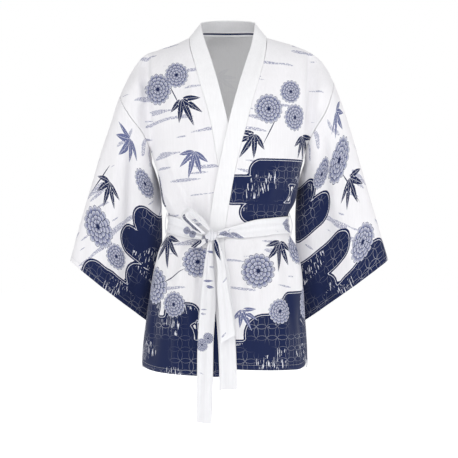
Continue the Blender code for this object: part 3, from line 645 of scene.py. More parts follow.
def creased(
    plain: np.ndarray, creases: Sequence[Crease], seams: np.ndarray, way: float
) -> np.ndarray:
    """Grid of a body panel with its creases, which end before its top edge.

    Args:
        plain: the grid without creases.
        creases: ridges and troughs in the front view.
        seams: share of a crease's height at each column.
        way: -1 for a front and 1 for the back.

    Returns:
        A grid shaped like plain.
    """
    top = ease(edge_distance(plain[::-1])[::-1] / CREASE_FREE)
    push = sum((c.swell(plain[..., [0, 2]]) for c in creases), np.zeros(1))
    ahead = np.array([0.0, way, 0.0])
    facing = normals(plain, ahead + plain * np.array([1.0, 1.0, 0.0])) + ahead
    facing = facing / np.linalg.norm(facing, axis=-1, keepdims=True)
    return plain + facing * (push * seams[None, :] * top)[..., None]


def panel_sheet(plain: np.ndarray, grid: np.ndarray, across: np.ndarray) -> Sheet:
    """Sheet of a body panel, whose print lies level.

    Args:
        plain: the grid without creases.
        grid: the grid with them.
        across: flat place across of each point.

    Returns:
        The sheet. The streaks of its print slope down to the side seams.
    """
    down = LEVEL_TOP - plain[..., 2]
    flat = np.stack([across, down], axis=-1)
    streaks = np.stack([across, down - STREAK_SLOPE * np.abs(across)], axis=-1)
    return Sheet(grid, flat, edge_distance(plain), streaks=streaks)


FRONT_COLUMNS = 64
BACK_NECK_COLUMNS = 34
LOWER_ROWS = 97
UPPER_ROWS = 52


@dataclass
class FrontPanel:
    """One front, from its band seam to its side seam and armhole.

    Attributes:
        side: the wearer's side.
        creases: ridges and troughs in the front view.
    """

    side: Side
    creases: Sequence[Crease] = ()

    @property
    def band(self) -> Table:
        """The table of the neck band sewn to this front."""
        return BAND_UNDER if self.side is Side.RIGHT else BAND_OVER

    def grid(self) -> np.ndarray:
        """Points from hem to shoulder and from band to side, without creases."""
        sign = self.side.value
        word = self.side.word
        u = fine_shares(FRONT_COLUMNS, 0.004)
        lower, upper = panel_rows(LOWER_ROWS, UPPER_ROWS)
        hem = HEM.at(word, 1 - u)
        z = hem[None, :] + (ARMPIT - hem[None, :]) * lower[:, None]
        wide = Form.half_width(sign, z)
        seam_angle = np.arccos(np.clip(sign * self.band.at("seam_x", z) / wide, -1, 1))
        gap = SEAM_GAP / 2 / BODY.at("front", z)
        start = seam_angle - SEAM_GAP / 2 / wide
        angle = start + (SIDE_TURN.at(word, z) + gap - start) * u[None, :]
        x_low = sign * wide * np.cos(angle)
        y_low = Form.depth(x_low, z, Face.FRONT)
        turned = np.degrees(angle)
        around = 360 - turned if self.side is Side.LEFT else 180 + turned
        clear = ease((u - 0.12) / 0.20)[None, :]
        y_low = y_low + gathers(around, z, 5, u[None, :]) * clear

        bottom = np.stack([x_low[-1], z[-1]], axis=-1)
        seam_z = ARMPIT + (SHOULDER - ARMPIT) * upper
        inner = np.stack([self.band.at("seam_x", seam_z), seam_z], axis=-1)
        inner[:, 0] += sign * SEAM_GAP / 2
        outer = armhole(self.side, upper)
        top_x = sign * NECK_HALF + (outer[-1, 0] - sign * NECK_HALF) * u
        top_x[0] += sign * SEAM_GAP / 2
        top = np.stack([top_x, Form.ridge(top_x, Face.FRONT)], axis=-1)
        inner[-1] = top[0]
        high = coons(bottom, top, inner, outer, u, upper)
        x_high, z_high = high[..., 0], high[..., 1]
        start_share = ease(upper / 0.10)[:, None]
        y_high = Form.depth(x_high, z_high, Face.FRONT) * start_share
        y_high = y_high + y_low[-1] * (1 - start_share)
        y_high[-1] = SEAM_GAP / 2

        x = np.concatenate([x_low, x_high])
        z = np.concatenate([z, z_high])
        y = -np.concatenate([y_low, y_high])
        if self.side is Side.LEFT:
            y = y - Form.wrap_lift(x, z)
        return np.stack([x, y, z], axis=-1)

    def sheet(self) -> Sheet:
        """The front with its creases, its flat plan and its distance to the hem."""
        plain = self.grid()
        u = fine_shares(FRONT_COLUMNS, 0.004)
        seams = ease(u / 0.10) * ease((1 - u) / 0.06)
        grid = creased(plain, self.creases, seams, -1.0)
        start = self.side.value * grid[:, 0, 0]
        across = (lay_flat(plain)[..., 0] + start[:, None]) * self.side.value
        return panel_sheet(plain, grid, across)


@dataclass
class BackPanel:
    """The back, from the left side round to the right side."""

    creases: Sequence[Crease] = ()
    neck_from: float = 0.34
    neck_to: float = 0.66

    def shares(self) -> tuple[np.ndarray, np.ndarray]:
        """Shares across the back, and which columns end at the neckline."""
        ridge_u = fine_shares(44, 0.004)
        neck_u = np.linspace(0, 1, BACK_NECK_COLUMNS + 1)[1:-1]
        u = np.concatenate(
            [
                self.neck_from * (1 - ridge_u[::-1]),
                self.neck_from + (self.neck_to - self.neck_from) * neck_u,
                self.neck_to + (1 - self.neck_to) * ridge_u,
            ]
        )
        on_neck = np.zeros(len(u), bool)
        on_neck[len(ridge_u) : len(ridge_u) + len(neck_u)] = True
        return u, on_neck

    def grid(self) -> np.ndarray:
        """Points from hem to shoulder and from left to right, without creases."""
        u, on_neck = self.shares()
        lower, upper = panel_rows(LOWER_ROWS, UPPER_ROWS)
        hem = HEM.at("back", np.clip(1 - np.abs(2 * u - 1), 0, 1))
        z = hem[None, :] + (ARMPIT - hem[None, :]) * lower[:, None]
        gap = SEAM_GAP / 2 / BODY.at("back", z)
        start = gap - SIDE_TURN.at("left", z)
        end = np.pi - gap + SIDE_TURN.at("right", z)
        angle = start + (end - start) * u[None, :]
        x_low = Form.half_width(np.cos(angle), z) * np.cos(angle)
        front = -Form.depth(x_low, z, Face.FRONT)
        y_low = np.where(np.sin(angle) >= 0, Form.depth(x_low, z, Face.BACK), front)
        y_low = y_low + gathers(np.degrees(angle), z, 9, u[None, :])

        bottom = np.stack([x_low[-1], z[-1]], axis=-1)
        left, right = armhole(Side.LEFT, upper), armhole(Side.RIGHT, upper)
        share = np.clip((u - self.neck_from) / (self.neck_to - self.neck_from), 0, 1)
        seam = neck_seam(share * np.pi)
        out_left = left[-1, 0] + (NECK_HALF - left[-1, 0]) * (u / self.neck_from)
        past = (u - self.neck_to) / (1 - self.neck_to)
        out_right = -NECK_HALF + (right[-1, 0] + NECK_HALF) * past
        outside = np.where(u < 0.5, out_left, out_right)
        top_x = np.where(on_neck, seam[:, 0], outside)
        top_z = np.where(on_neck, seam[:, 2] - SEAM_GAP, Form.ridge(top_x, Face.FRONT))
        top = np.stack([top_x, top_z], axis=-1)
        high = coons(bottom, top, left, right, u, upper)
        x_high, z_high = high[..., 0], high[..., 1]
        top_y = np.where(on_neck, seam[:, 1], SEAM_GAP / 2)
        y_high = Form.depth(x_high, z_high, Face.BACK)
        y_high = y_high + (top_y - y_high[-1])[None, :] * upper[:, None] ** 8
        start_share = ease(upper / 0.10)[:, None]
        y_high = y_high * start_share + y_low[-1] * (1 - start_share)
        x = np.concatenate([x_low, x_high])
        y = np.concatenate([y_low, y_high])
        return np.stack([x, y, np.concatenate([z, z_high])], axis=-1)

    def sheet(self) -> Sheet:
        """The back with its creases, its flat plan and its distance to the hem."""
        plain = self.grid()
        u, _ = self.shares()
        grid = creased(plain, self.creases, ease(u / 0.05) * ease((1 - u) / 0.05), 1.0)
        middle = plain.shape[1] // 2
        across = lay_flat(plain)[..., 0]
        return panel_sheet(plain, grid, across[:, middle : middle + 1] - across)


SLEEVE_ROWS = 110


@dataclass
class Sleeve:
    """One sleeve: a closed tube from the armhole to the open cuff.

    Attributes:
        side: the wearer's side.
        front_creases, back_creases: in shares (along the sleeve, across it).
    """

    side: Side
    front_creases: Sequence[Crease] = ()
    back_creases: Sequence[Crease] = ()

    def sheet(self) -> Sheet:
        """The sleeve with its folds, its flat plan and its distance to the cuff."""
        sign = self.side.value
        table = SLEEVES[self.side]
        rows = np.concatenate([[0.0, 0.004], np.linspace(0.012, 1.0, SLEEVE_ROWS)])
        shares = np.concatenate([[0.0], panel_rows(LOWER_ROWS, UPPER_ROWS)[1]])
        share = np.concatenate([shares, shares[-2:0:-1]])
        place = 2 * share - 1
        front = np.arange(len(share)) < len(shares)

        def column(name: str) -> np.ndarray:
            """The table's column at each row, as a column of the grid."""
            return table.at(name, rows)[:, None]

        first = LOWER_ROWS - 1
        edge_front = FrontPanel(self.side).grid()[first:, -1]
        edge_back = BackPanel().grid()[first:, 0 if self.side is Side.LEFT else -1]
        ring = np.concatenate([edge_front, edge_back[-2:0:-1]])
        ring_x = np.abs(ring[:, 0]) + SLEEVE_GAP * 0.88
        ring_x = ring_x + ARMPIT_EASE * (1 - ease(share / 0.25))
        ring_z = ring[:, 2] - SLEEVE_GAP * 0.47
        round_start = ARMPIT_ROUND * np.sqrt(np.clip(share / 0.02, 0, 1))
        round_start = round_start * (1 - ease(share / 0.3))
        ring_y = np.maximum(np.abs(ring[:, 1]), round_start)
        ring_y[[0, len(shares) - 1]] = 0
        chord_x = table.at("in_x", 0) + (table.at("out_x", 0) - table.at("in_x", 0)) * share
        chord_z = table.at("in_z", 0) + (table.at("out_z", 0) - table.at("in_z", 0)) * share
        bow = (1 - ease(rows / 0.35))[:, None]
        x = column("in_x") + (column("out_x") - column("in_x")) * share
        z = column("in_z") + (column("out_z") - column("in_z")) * share
        x = x + bow * (ring_x - chord_x)
        z = z + bow * (ring_z - chord_z)
        middle = column("in_y") + (column("out_y") - column("in_y")) * share
        rim = np.sqrt(np.clip(1 - place**2, 0, 1))
        keep = (1 - ease(rows / 0.22))[:, None]
        thick = keep * ring_y + (1 - keep) * column("thick") * rim
        plan = np.stack(np.broadcast_arrays(rows[:, None], place[None, :]), axis=-1)
        for face, creases in ((front, self.front_creases), (~front, self.back_creases)):
            for crease in creases:
                thick = thick + crease.swell(plan) * face * rim
        y = middle + np.where(front, -1.0, 1.0) * thick
        grid = np.stack([sign * x, y, z], axis=-1)
        flat = self.plan(grid)
        inward, down = -flat[..., 0], flat[..., 1]
        c, s = math.cos(STREAK_LEAN), math.sin(STREAK_LEAN)
        streaks = np.stack([down * c - inward * s, inward * c + down * s], axis=-1)
        return Sheet(grid, flat, edge_distance(grid[::-1])[::-1], True, streaks)

    def plan(self, grid: np.ndarray) -> np.ndarray:
        """Flat place of each point: round the tube, and down the sleeve."""
        closed = np.concatenate([grid, grid[:, :1]], axis=1)
        round_it = np.linalg.norm(np.diff(closed, axis=1), axis=-1)
        first = np.zeros((len(grid), 1))
        round_it = np.concatenate([first, np.cumsum(round_it, axis=1)], axis=1)
        outer = round_it[:, round_it.shape[1] // 2]
        down = edge_distance(closed)
        return np.stack([round_it - outer[:, None], down + SLEEVE_PLAN_TOP], axis=-1)


@dataclass
class FrontBand:
    """The neck band of one front, from its panel seam to its free edge."""

    side: Side

    def sheet(self) -> Sheet:
        """The band with its flat plan."""
        sign = self.side.value
        panel = FrontPanel(self.side)
        edge = panel.grid()[:, 0]
        seam_z = edge[:, 2]
        band = panel.band
        free = np.stack([band.at(n, seam_z) for n in ("edge_x", "edge_y", "edge_z")], axis=-1)
        on_form = np.clip(band.at("on_form", seam_z), 0, 1)
        flat_y = -Form.depth(free[:, 0], free[:, 2], Face.FRONT)
        if self.side is Side.LEFT:
            flat_y = flat_y - Form.wrap_lift(free[:, 0], free[:, 2])
        free[:, 1] = free[:, 1] * (1 - on_form) + flat_y * on_form
        seam = edge.copy()
        seam[:, 0] -= sign * SEAM_GAP
        seam[-1, 1] = -SEAM_GAP / 2
        free[-1, 1] = free[-1, 1] - SEAM_GAP / 2
        reach = np.linalg.norm(free - seam, axis=-1)
        lift = COLLAR_LIFT * (1 - ease((SHOULDER - seam_z) / 0.10)) / reach
        seam = seam + (free - seam) * lift[:, None]
        across = np.array([0.0, 0.03, 0.06, 0.12, 0.24, 0.36, 0.52, 0.68, 0.84, 0.96, 1.0])
        grid = seam[:, None] + (free - seam)[:, None] * across[None, :, None]
        own = Form.depth(grid[..., 0], grid[..., 2], Face.FRONT)
        if self.side is Side.LEFT:
            own = own + Form.wrap_lift(grid[..., 0], grid[..., 2])
        near_seam = (1 - ease((across - 0.06) / 0.30))[None, :]
        on_chest = ease((SHOULDER - seam_z) / 0.05)[:, None] * near_seam
        laid = np.maximum(on_chest, on_form[:, None])
        grid[..., 1] = grid[..., 1] * (1 - laid) - own * laid
        return Sheet(grid, lay_flat(grid))


def back_free_edge(turn: np.ndarray) -> np.ndarray:
    """Free edge of the back neck band at angles from left to right."""
    round_it = np.sin(turn)
    x = COLLAR_HALF * np.cos(turn)
    z = COLLAR_HEIGHT + COLLAR_BACK_RISE * round_it
    return np.stack([x, COLLAR_Y + COLLAR_BACK_Y * round_it, z], axis=-1)


@dataclass
class BackBand:
    """The band's stretch round the back neck, standing up from its seam."""

    columns: int = 72

    def sheet(self) -> Sheet:
        """The band with its flat plan."""
        even = np.linspace(0, np.pi, self.columns + 1)
        turn = np.concatenate([[0.0, 0.01], even[1:-1], [np.pi - 0.01, np.pi]])
        seam, free = neck_seam(turn), back_free_edge(turn)
        seam[[0, -1], 1] = SEAM_GAP / 2
        free[[0, -1], 1] += SEAM_GAP / 2
        reach = np.linalg.norm(free - seam, axis=-1, keepdims=True)
        seam = seam + (free - seam) * COLLAR_LIFT / reach
        across = np.array([0.0, 0.06, 0.2, 0.36, 0.52, 0.68, 0.84, 0.96, 1.0])
        grid = seam[:, None] + (free - seam)[:, None] * across[None, :, None]
        return Sheet(grid, lay_flat(grid))


@dataclass
class NeckTape:
    """The tape inside the back neck: on the band above, on the panel below."""

    columns: int = 64

    def sheet(self) -> Sheet:
        """The tape; its flat plan's second value runs across it from its lower edge."""
        turn = np.linspace(TAPE_START, np.pi - TAPE_START, self.columns)
        seam, free = neck_seam(turn), back_free_edge(turn)
        inward = np.stack([-np.cos(turn), -np.sin(turn), np.zeros_like(turn)], axis=-1)
        share = TAPE_ABOVE / (free[:, 2:] - seam[:, 2:])
        above = seam + (free - seam) * share + inward * TAPE_OFF
        below = seam + inward * TAPE_OFF * 0.8 - np.array([0.0, 0.0, TAPE_BELOW])
        middle = seam + inward * TAPE_OFF
        keys = np.linspace(0, 1, 9)[None, :, None]
        low, high = np.clip(keys * 2, 0, 1), np.clip(keys * 2 - 1, 0, 1)
        grid = below[:, None] + (middle - below)[:, None] * low + (above - middle)[:, None] * high
        flat = np.stack(
            np.broadcast_arrays(turn[:, None] * NECK_HALF, keys[..., 0] * TAPE_WIDTH), axis=-1
        )
        return Sheet(grid, flat)


@dataclass
class WaistBelt:
    """The belt round the waist, from one side of the knot to the other."""

    columns: int = 260
    across: int = 14

    def sheet(self) -> Sheet:
        """The belt with its lengthwise folds, drawn together at the knot."""
        angle = np.linspace(*BELT_ENDS, self.columns)
        low, high = BELT.at("low", angle), BELT.at("high", angle)
        share = np.linspace(0, 1, self.across + 1)
        z = low[:, None] + (high - low)[:, None] * share[None, :]
        from_knot = np.minimum(angle - angle[0], angle[-1] - angle)
        off = BELT_CLEAR + KNOT_RISE * (1 - ease(from_knot / 12.0))
        drawn = 0.0011 + 0.0016 * (1 - ease(from_knot / 40.0))
        folds = np.cos(2 * np.pi * (2.5 * share[None, :] + angle[:, None] / 190.0))
        off = off[:, None] + drawn[:, None] * folds * np.sin(np.pi * share)[None, :]
        grid = Form.around(angle[:, None] + 0 * z, z, off)
        return Sheet(grid, lay_flat(grid)[..., ::-1])


@dataclass
class HangingStrip:
    """An end or loop of the belt that hangs in front of the cloth.

    Attributes:
        rows: both edges in the front view, and how far it stands off, in millimetres.
        hug: 1 follows the cloth across, less stays flatter.
        fold: height of its soft lengthwise fold.
    """

    rows: str
    hug: float = 0.3
    fold: float = 0.0015
    columns: int = 120
    across: int = 10

    def sheet(self) -> Sheet:
        """The strip with its lengthwise fold."""
        table = by_row("left_x left_z right_x right_z off", self.rows)
        at = np.linspace(0, 1, self.columns)
        share = np.linspace(0, 1, self.across + 1)[None, :]
        left_x, right_x = table.at("left_x", at)[:, None], table.at("right_x", at)[:, None]
        left_z, right_z = table.at("left_z", at)[:, None], table.at("right_z", at)[:, None]
        x = left_x + (right_x - left_x) * share
        z = left_z + (right_z - left_z) * share
        rest = Form.depth(self.hug * x, np.maximum(z, FRONT_HEM), Face.FRONT)
        ends = ease(at / 0.08)[:, None]
        fold = self.fold * np.sin(2 * np.pi * share * 1.5 + 3.0 * at[:, None]) * ends
        y = -(rest + table.at("off", at)[:, None] + fold * np.sin(np.pi * share))
        grid = np.stack([x, y, z], axis=-1)
        return Sheet(grid, lay_flat(grid)[..., ::-1])


@dataclass
class UpperLoop:
    """The bow's upper loop, an open ring of belt seen partly from its end."""

    columns: int = 110
    across: int = 10

    def sheet(self) -> Sheet:
        """The ring from its near edge to its far edge."""
        at = np.linspace(0, 1, self.columns)
        spread = ease(np.sin(np.pi * at) * 1.6)
        near_y = LOOP_ROOT_Y + (LOOP_NEAR_Y - LOOP_ROOT_Y) * spread - 0.004
        far_y = LOOP_ROOT_Y + (LOOP_FAR_Y - LOOP_ROOT_Y) * spread + 0.002
        near = np.stack([LOOP_UPPER.at("near_x", at), near_y, LOOP_UPPER.at("near_z", at)], -1)
        far = np.stack([LOOP_UPPER.at("far_x", at), far_y, LOOP_UPPER.at("far_z", at)], -1)
        share = np.linspace(0, 1, self.across + 1)[None, :, None]
        grid = near[:, None] + (far - near)[:, None] * share
        return Sheet(grid, lay_flat(grid)[..., ::-1])


def linear(colour: str) -> tuple[float, float, float, float]:
    """Scene-linear colour from an sRGB hex code such as "#14224A"."""
    values = [int(colour[i : i + 2], 16) / 255 for i in (1, 3, 5)]
    found = [v / 12.92 if v <= 0.04045 else ((v + 0.055) / 1.055) ** 2.4 for v in values]
    return (*found, 1.0)


class Wiring:
    """Adds nodes to a tree with their settings and links in one call."""

    def __init__(self, tree: bpy.types.NodeTree) -> None:
        """Keeps the tree that the nodes go into."""
        self.tree = tree

    def add(self, kind: str, settings: Optional[dict] = None, **inputs: Value) -> bpy.types.Node:
        """Adds one node.

        Args:
            kind: the shader node's type name, without its first word.
            settings: attributes to set on it.
            inputs: socket values or sockets to link, by name (spaces as underscores) or
                as i0, i1 and so on for the socket's place.

        Returns:
            The node.
        """
        node = self.tree.nodes.new("ShaderNode" + kind)
        for name, value in (settings or {}).items():
            setattr(node, name, value)
        for name, value in inputs.items():
            if name[0] == "i" and name[1:].isdigit():
                socket = node.inputs[int(name[1:])]
            else:
                socket = node.inputs[name.replace("_", " ")]
            if isinstance(value, bpy.types.NodeSocket):
                self.tree.links.new(value, socket)
            else:
                socket.default_value = value
        return node

    def math(
        self,
        operation: str,
        a: Value,
        b: Optional[Value] = None,
        c: Optional[Value] = None,
        clamp: bool = False,
    ) -> Socket:
        """Result socket of a math node."""
        values = {f"i{n}": v for n, v in enumerate((a, b, c)) if v is not None}
        made = self.add("Math", {"operation": operation, "use_clamp": clamp}, **values)
        return made.outputs[0]

    def mix(self, share: Value, a: Value, b: Value) -> Socket:
        """Colour between a and b."""
        node = self.add("Mix", {"data_type": "RGBA"}, i0=share, i6=a, i7=b)
        return node.outputs[2]


@dataclass(frozen=True)
class Cotton:
    """Plain woven cotton.

    Attributes:
        name: what the real material is.
        colour: its sRGB hex colour.
        crinkle: depth of its small wrinkles, in metres.
        stitched: whether it has a turned hem with a line of stitches.
    """

    name: str
    colour: str
    crinkle: float = 0.0004
    stitched: bool = False

    def paint(self, wire: Wiring) -> Value:
        """The cloth's colour before its weave, as a socket or a value."""
        return linear(self.colour)

    def surface(self, wire: Wiring, colour: Value) -> None:
        """Adds the matt cotton surface over a colour socket or value."""
        place = wire.add("TexCoord").outputs["Object"]
        soft = wire.add("TexNoise", Vector=place, Scale=28.0, Detail=3.0)
        weave = wire.add("TexNoise", Vector=place, Scale=900.0, Detail=1.0)
        stretched = wire.add(
            "VectorMath",
            {"operation": "MULTIPLY"},
            i0=place,
            i1=(330.0, 330.0, 9.0),
        )
        slub = wire.add("TexNoise", Vector=stretched.outputs[0], Scale=1.0, Detail=2.0)
        height = wire.math("MULTIPLY", soft.outputs[0], self.crinkle)
        height = wire.math("MULTIPLY_ADD", slub.outputs[0], 0.00022, height)
        tone = wire.math("MULTIPLY_ADD", slub.outputs[0], 0.10, 0.95)
        patch = wire.math("MULTIPLY_ADD", soft.outputs[0], 0.07, 0.965)
        tone = wire.math("MULTIPLY", tone, patch)
        toned = wire.add(
            "Mix",
            {"data_type": "RGBA", "blend_type": "MULTIPLY"},
            i0=1.0,
            i6=colour,
            i7=wire.add("CombineColor", Red=tone, Green=tone, Blue=tone).outputs[0],
        )
        colour = toned.outputs[2]
        height = wire.math("MULTIPLY_ADD", weave.outputs[0], 0.00006, height)
        if self.stitched:
            hem = wire.add("Attribute", {"attribute_name": "hem"}).outputs["Fac"]
            flat = wire.add("UVMap", {"uv_map": "flat_cloth"}).outputs[0]
            across = wire.add("SeparateXYZ", Vector=flat).outputs[0]
            turned = wire.math("LESS_THAN", hem, HEM_TURN)
            height = wire.math("MULTIPLY_ADD", turned, 0.0003, height)
            line = wire.math("COMPARE", hem, HEM_TURN - 0.0012, 0.00032)
            dash = wire.math("FRACT", wire.math("DIVIDE", across, 0.0029))
            line = wire.math("MULTIPLY", line, wire.math("LESS_THAN", dash, 0.72))
            height = wire.math("MULTIPLY_ADD", line, 0.0003, height)
            # The stitches are drawn grey, between the white ground and the navy: thread, and
            # painted shade along the stitch line where the ground is white
            colour = wire.mix(wire.math("MULTIPLY", line, 0.7), colour, linear("#D5D6DF"))
        bump = wire.add("Bump", Strength=1.0, Distance=1.0, Height=height)
        shader = wire.add(
            "BsdfPrincipled",
            Base_Color=colour,
            Roughness=0.88,
            Specular_IOR_Level=0.25,
            Sheen_Weight=0.12,
            Sheen_Roughness=0.5,
            Normal=bump.outputs[0],
        )
        out = wire.add("OutputMaterial")
        wire.tree.links.new(shader.outputs[0], out.inputs[0])

    @functools.cache
    def made(self) -> bpy.types.Material:
        """The Blender material, made once."""
        material = bpy.data.materials.new(self.name)
        material.use_nodes = True
        material.node_tree.nodes.clear()
        wire = Wiring(material.node_tree)
        self.surface(wire, self.paint(wire))
        material.diffuse_color = linear(self.colour)
        return material


@dataclass(frozen=True)
class Bloom:
    """A chrysanthemum head on the flat cloth."""

    x: float
    y: float
    radius: float
    turn: float = 0.0


@dataclass(frozen=True)
class Leaf:
    """A leaf, or a thin stem, from its foot along an angle in degrees."""

    x: float
    y: float
    angle: float
    length: float
    width: float
    tone: float = 0.0

    def distance(self, at: np.ndarray) -> np.ndarray:
        """Distance of points from the middle line."""
        turn = math.radians(self.angle)
        tip = np.array([math.cos(turn), math.sin(turn)]) * self.length
        from_foot = at - np.array([self.x, self.y])
        share = np.clip(from_foot @ tip / self.length**2, 0, 1)
        return np.linalg.norm(from_foot - share[..., None] * tip, axis=-1)


@dataclass(frozen=True)
class Bank:
    """A bank of mist: a bar with round ends from x0 to x1 at a height."""

    x0: float
    x1: float
    y: float
    radius: float

    def inside(self, at: np.ndarray) -> np.ndarray:
        """Distance inside the bar's edge; negative outside."""
        near = np.clip(at[..., 0], min(self.x0, self.x1), max(self.x0, self.x1))
        return self.radius - np.hypot(at[..., 0] - near, at[..., 1] - self.y)


@dataclass(frozen=True)
class Layout:
    """The print of one piece on its flat cloth, in metres."""

    blooms: tuple[Bloom, ...] = ()
    leaves: tuple[Leaf, ...] = ()
    stems: tuple[Leaf, ...] = ()
    banks: tuple[Bank, ...] = ()

    @classmethod
    def read(
        cls, blooms: str = "", leaves: str = "", sprays: str = "", stems: str = "", banks: str = ""
    ) -> "Layout":
        """Layout from rows of each motif's own fields, in order.

        Lengths are in millimetres, a bloom's turn in thousandths, other angles in degrees.

        Args:
            blooms, leaves, stems, banks: one row for each of them.
            sprays: one row of a place, an angle, a size and a tone for each fan of leaves.

        Returns:
            The layout, with the fans' leaves after the single ones.
        """
        one = (1000, 1000, 1, 1000, 1000, 1)
        fans = [spray(*row) for row in read_rows(sprays, (1000, 1000, 1, 1000, 1)).tolist()]
        single = [Leaf(*row) for row in read_rows(leaves, one).tolist()]
        return cls(
            tuple(Bloom(*row) for row in read_rows(blooms, [1000] * 4).tolist()),
            (*single, *(leaf for fan in fans for leaf in fan)),
            tuple(Leaf(*row) for row in read_rows(stems, one).tolist()),
            tuple(Bank(*row) for row in read_rows(banks, [1000] * 4).tolist()),
        )

    def mark(self, mesh: bpy.types.Mesh, points: np.ndarray, faces: np.ndarray) -> None:
        """Writes the print's attributes on a mesh.

        Each face keeps the motif nearest to it, and the shader draws it from the exact
        place on the flat cloth. Each point keeps its distance inside the mist banks.

        Args:
            mesh: the piece's mesh.
            points: flat place of each point.
            faces: flat place of each face's middle.
        """
        far = np.full(len(faces), 9.0)
        bloom = np.zeros((len(faces), 3)) + [9.0, 9.0, 0.01]
        turn = np.zeros(len(faces))
        for item in self.blooms:
            away = np.hypot(faces[:, 0] - item.x, faces[:, 1] - item.y) - item.radius
            near = away < far
            far = np.where(near, away, far)
            bloom[near] = (item.x, item.y, item.radius)
            turn[near] = item.turn
        self.write(mesh, "bloom", "FLOAT_VECTOR", "FACE", "vector", bloom)
        self.write(mesh, "bloom_turn", "FLOAT", "FACE", "value", turn)
        for name, items in (("leaf", self.leaves), ("stem", self.stems)):
            far = np.full(len(faces), 9.0)
            foot = np.zeros((len(faces), 3)) + [9.0, 9.0, 0.0]
            size = np.zeros((len(faces), 3)) + [0.01, 0.0, 0.0]
            for item in items:
                away = item.distance(faces) - item.width
                near = away < far
                far = np.where(near, away, far)
                foot[near] = (item.x, item.y, math.radians(item.angle))
                size[near] = (item.length, item.width, item.tone)
            self.write(mesh, name, "FLOAT_VECTOR", "FACE", "vector", foot)
            self.write(mesh, name + "_size", "FLOAT_VECTOR", "FACE", "vector", size)
        ground = np.full(len(points), -1.0)
        for bank in self.banks:
            ground = np.maximum(ground, bank.inside(points))
        self.write(mesh, "ground", "FLOAT", "POINT", "value", ground)

    @staticmethod
    def write(
        mesh: bpy.types.Mesh, name: str, kind: str, domain: str, key: str, values: np.ndarray
    ) -> None:
        """Adds one attribute with its values."""
        made = mesh.attributes.new(name, kind, domain)
        made.data.foreach_set(key, np.asarray(values, np.float32).reshape(-1))


def spray(x: float, y: float, angle: float, size: float, tone: float = 0.0) -> tuple[Leaf, ...]:
    """Five bamboo leaves that fan out from one place."""
    fan = ((-62, 0.72), (-27, 0.95), (4, 1.12), (36, 0.90), (70, 0.66))
    return tuple(
        Leaf(x, y, angle + turn, size * share, size * 0.105 * (0.8 + 0.2 * share), tone)
        for turn, share in fan
    )


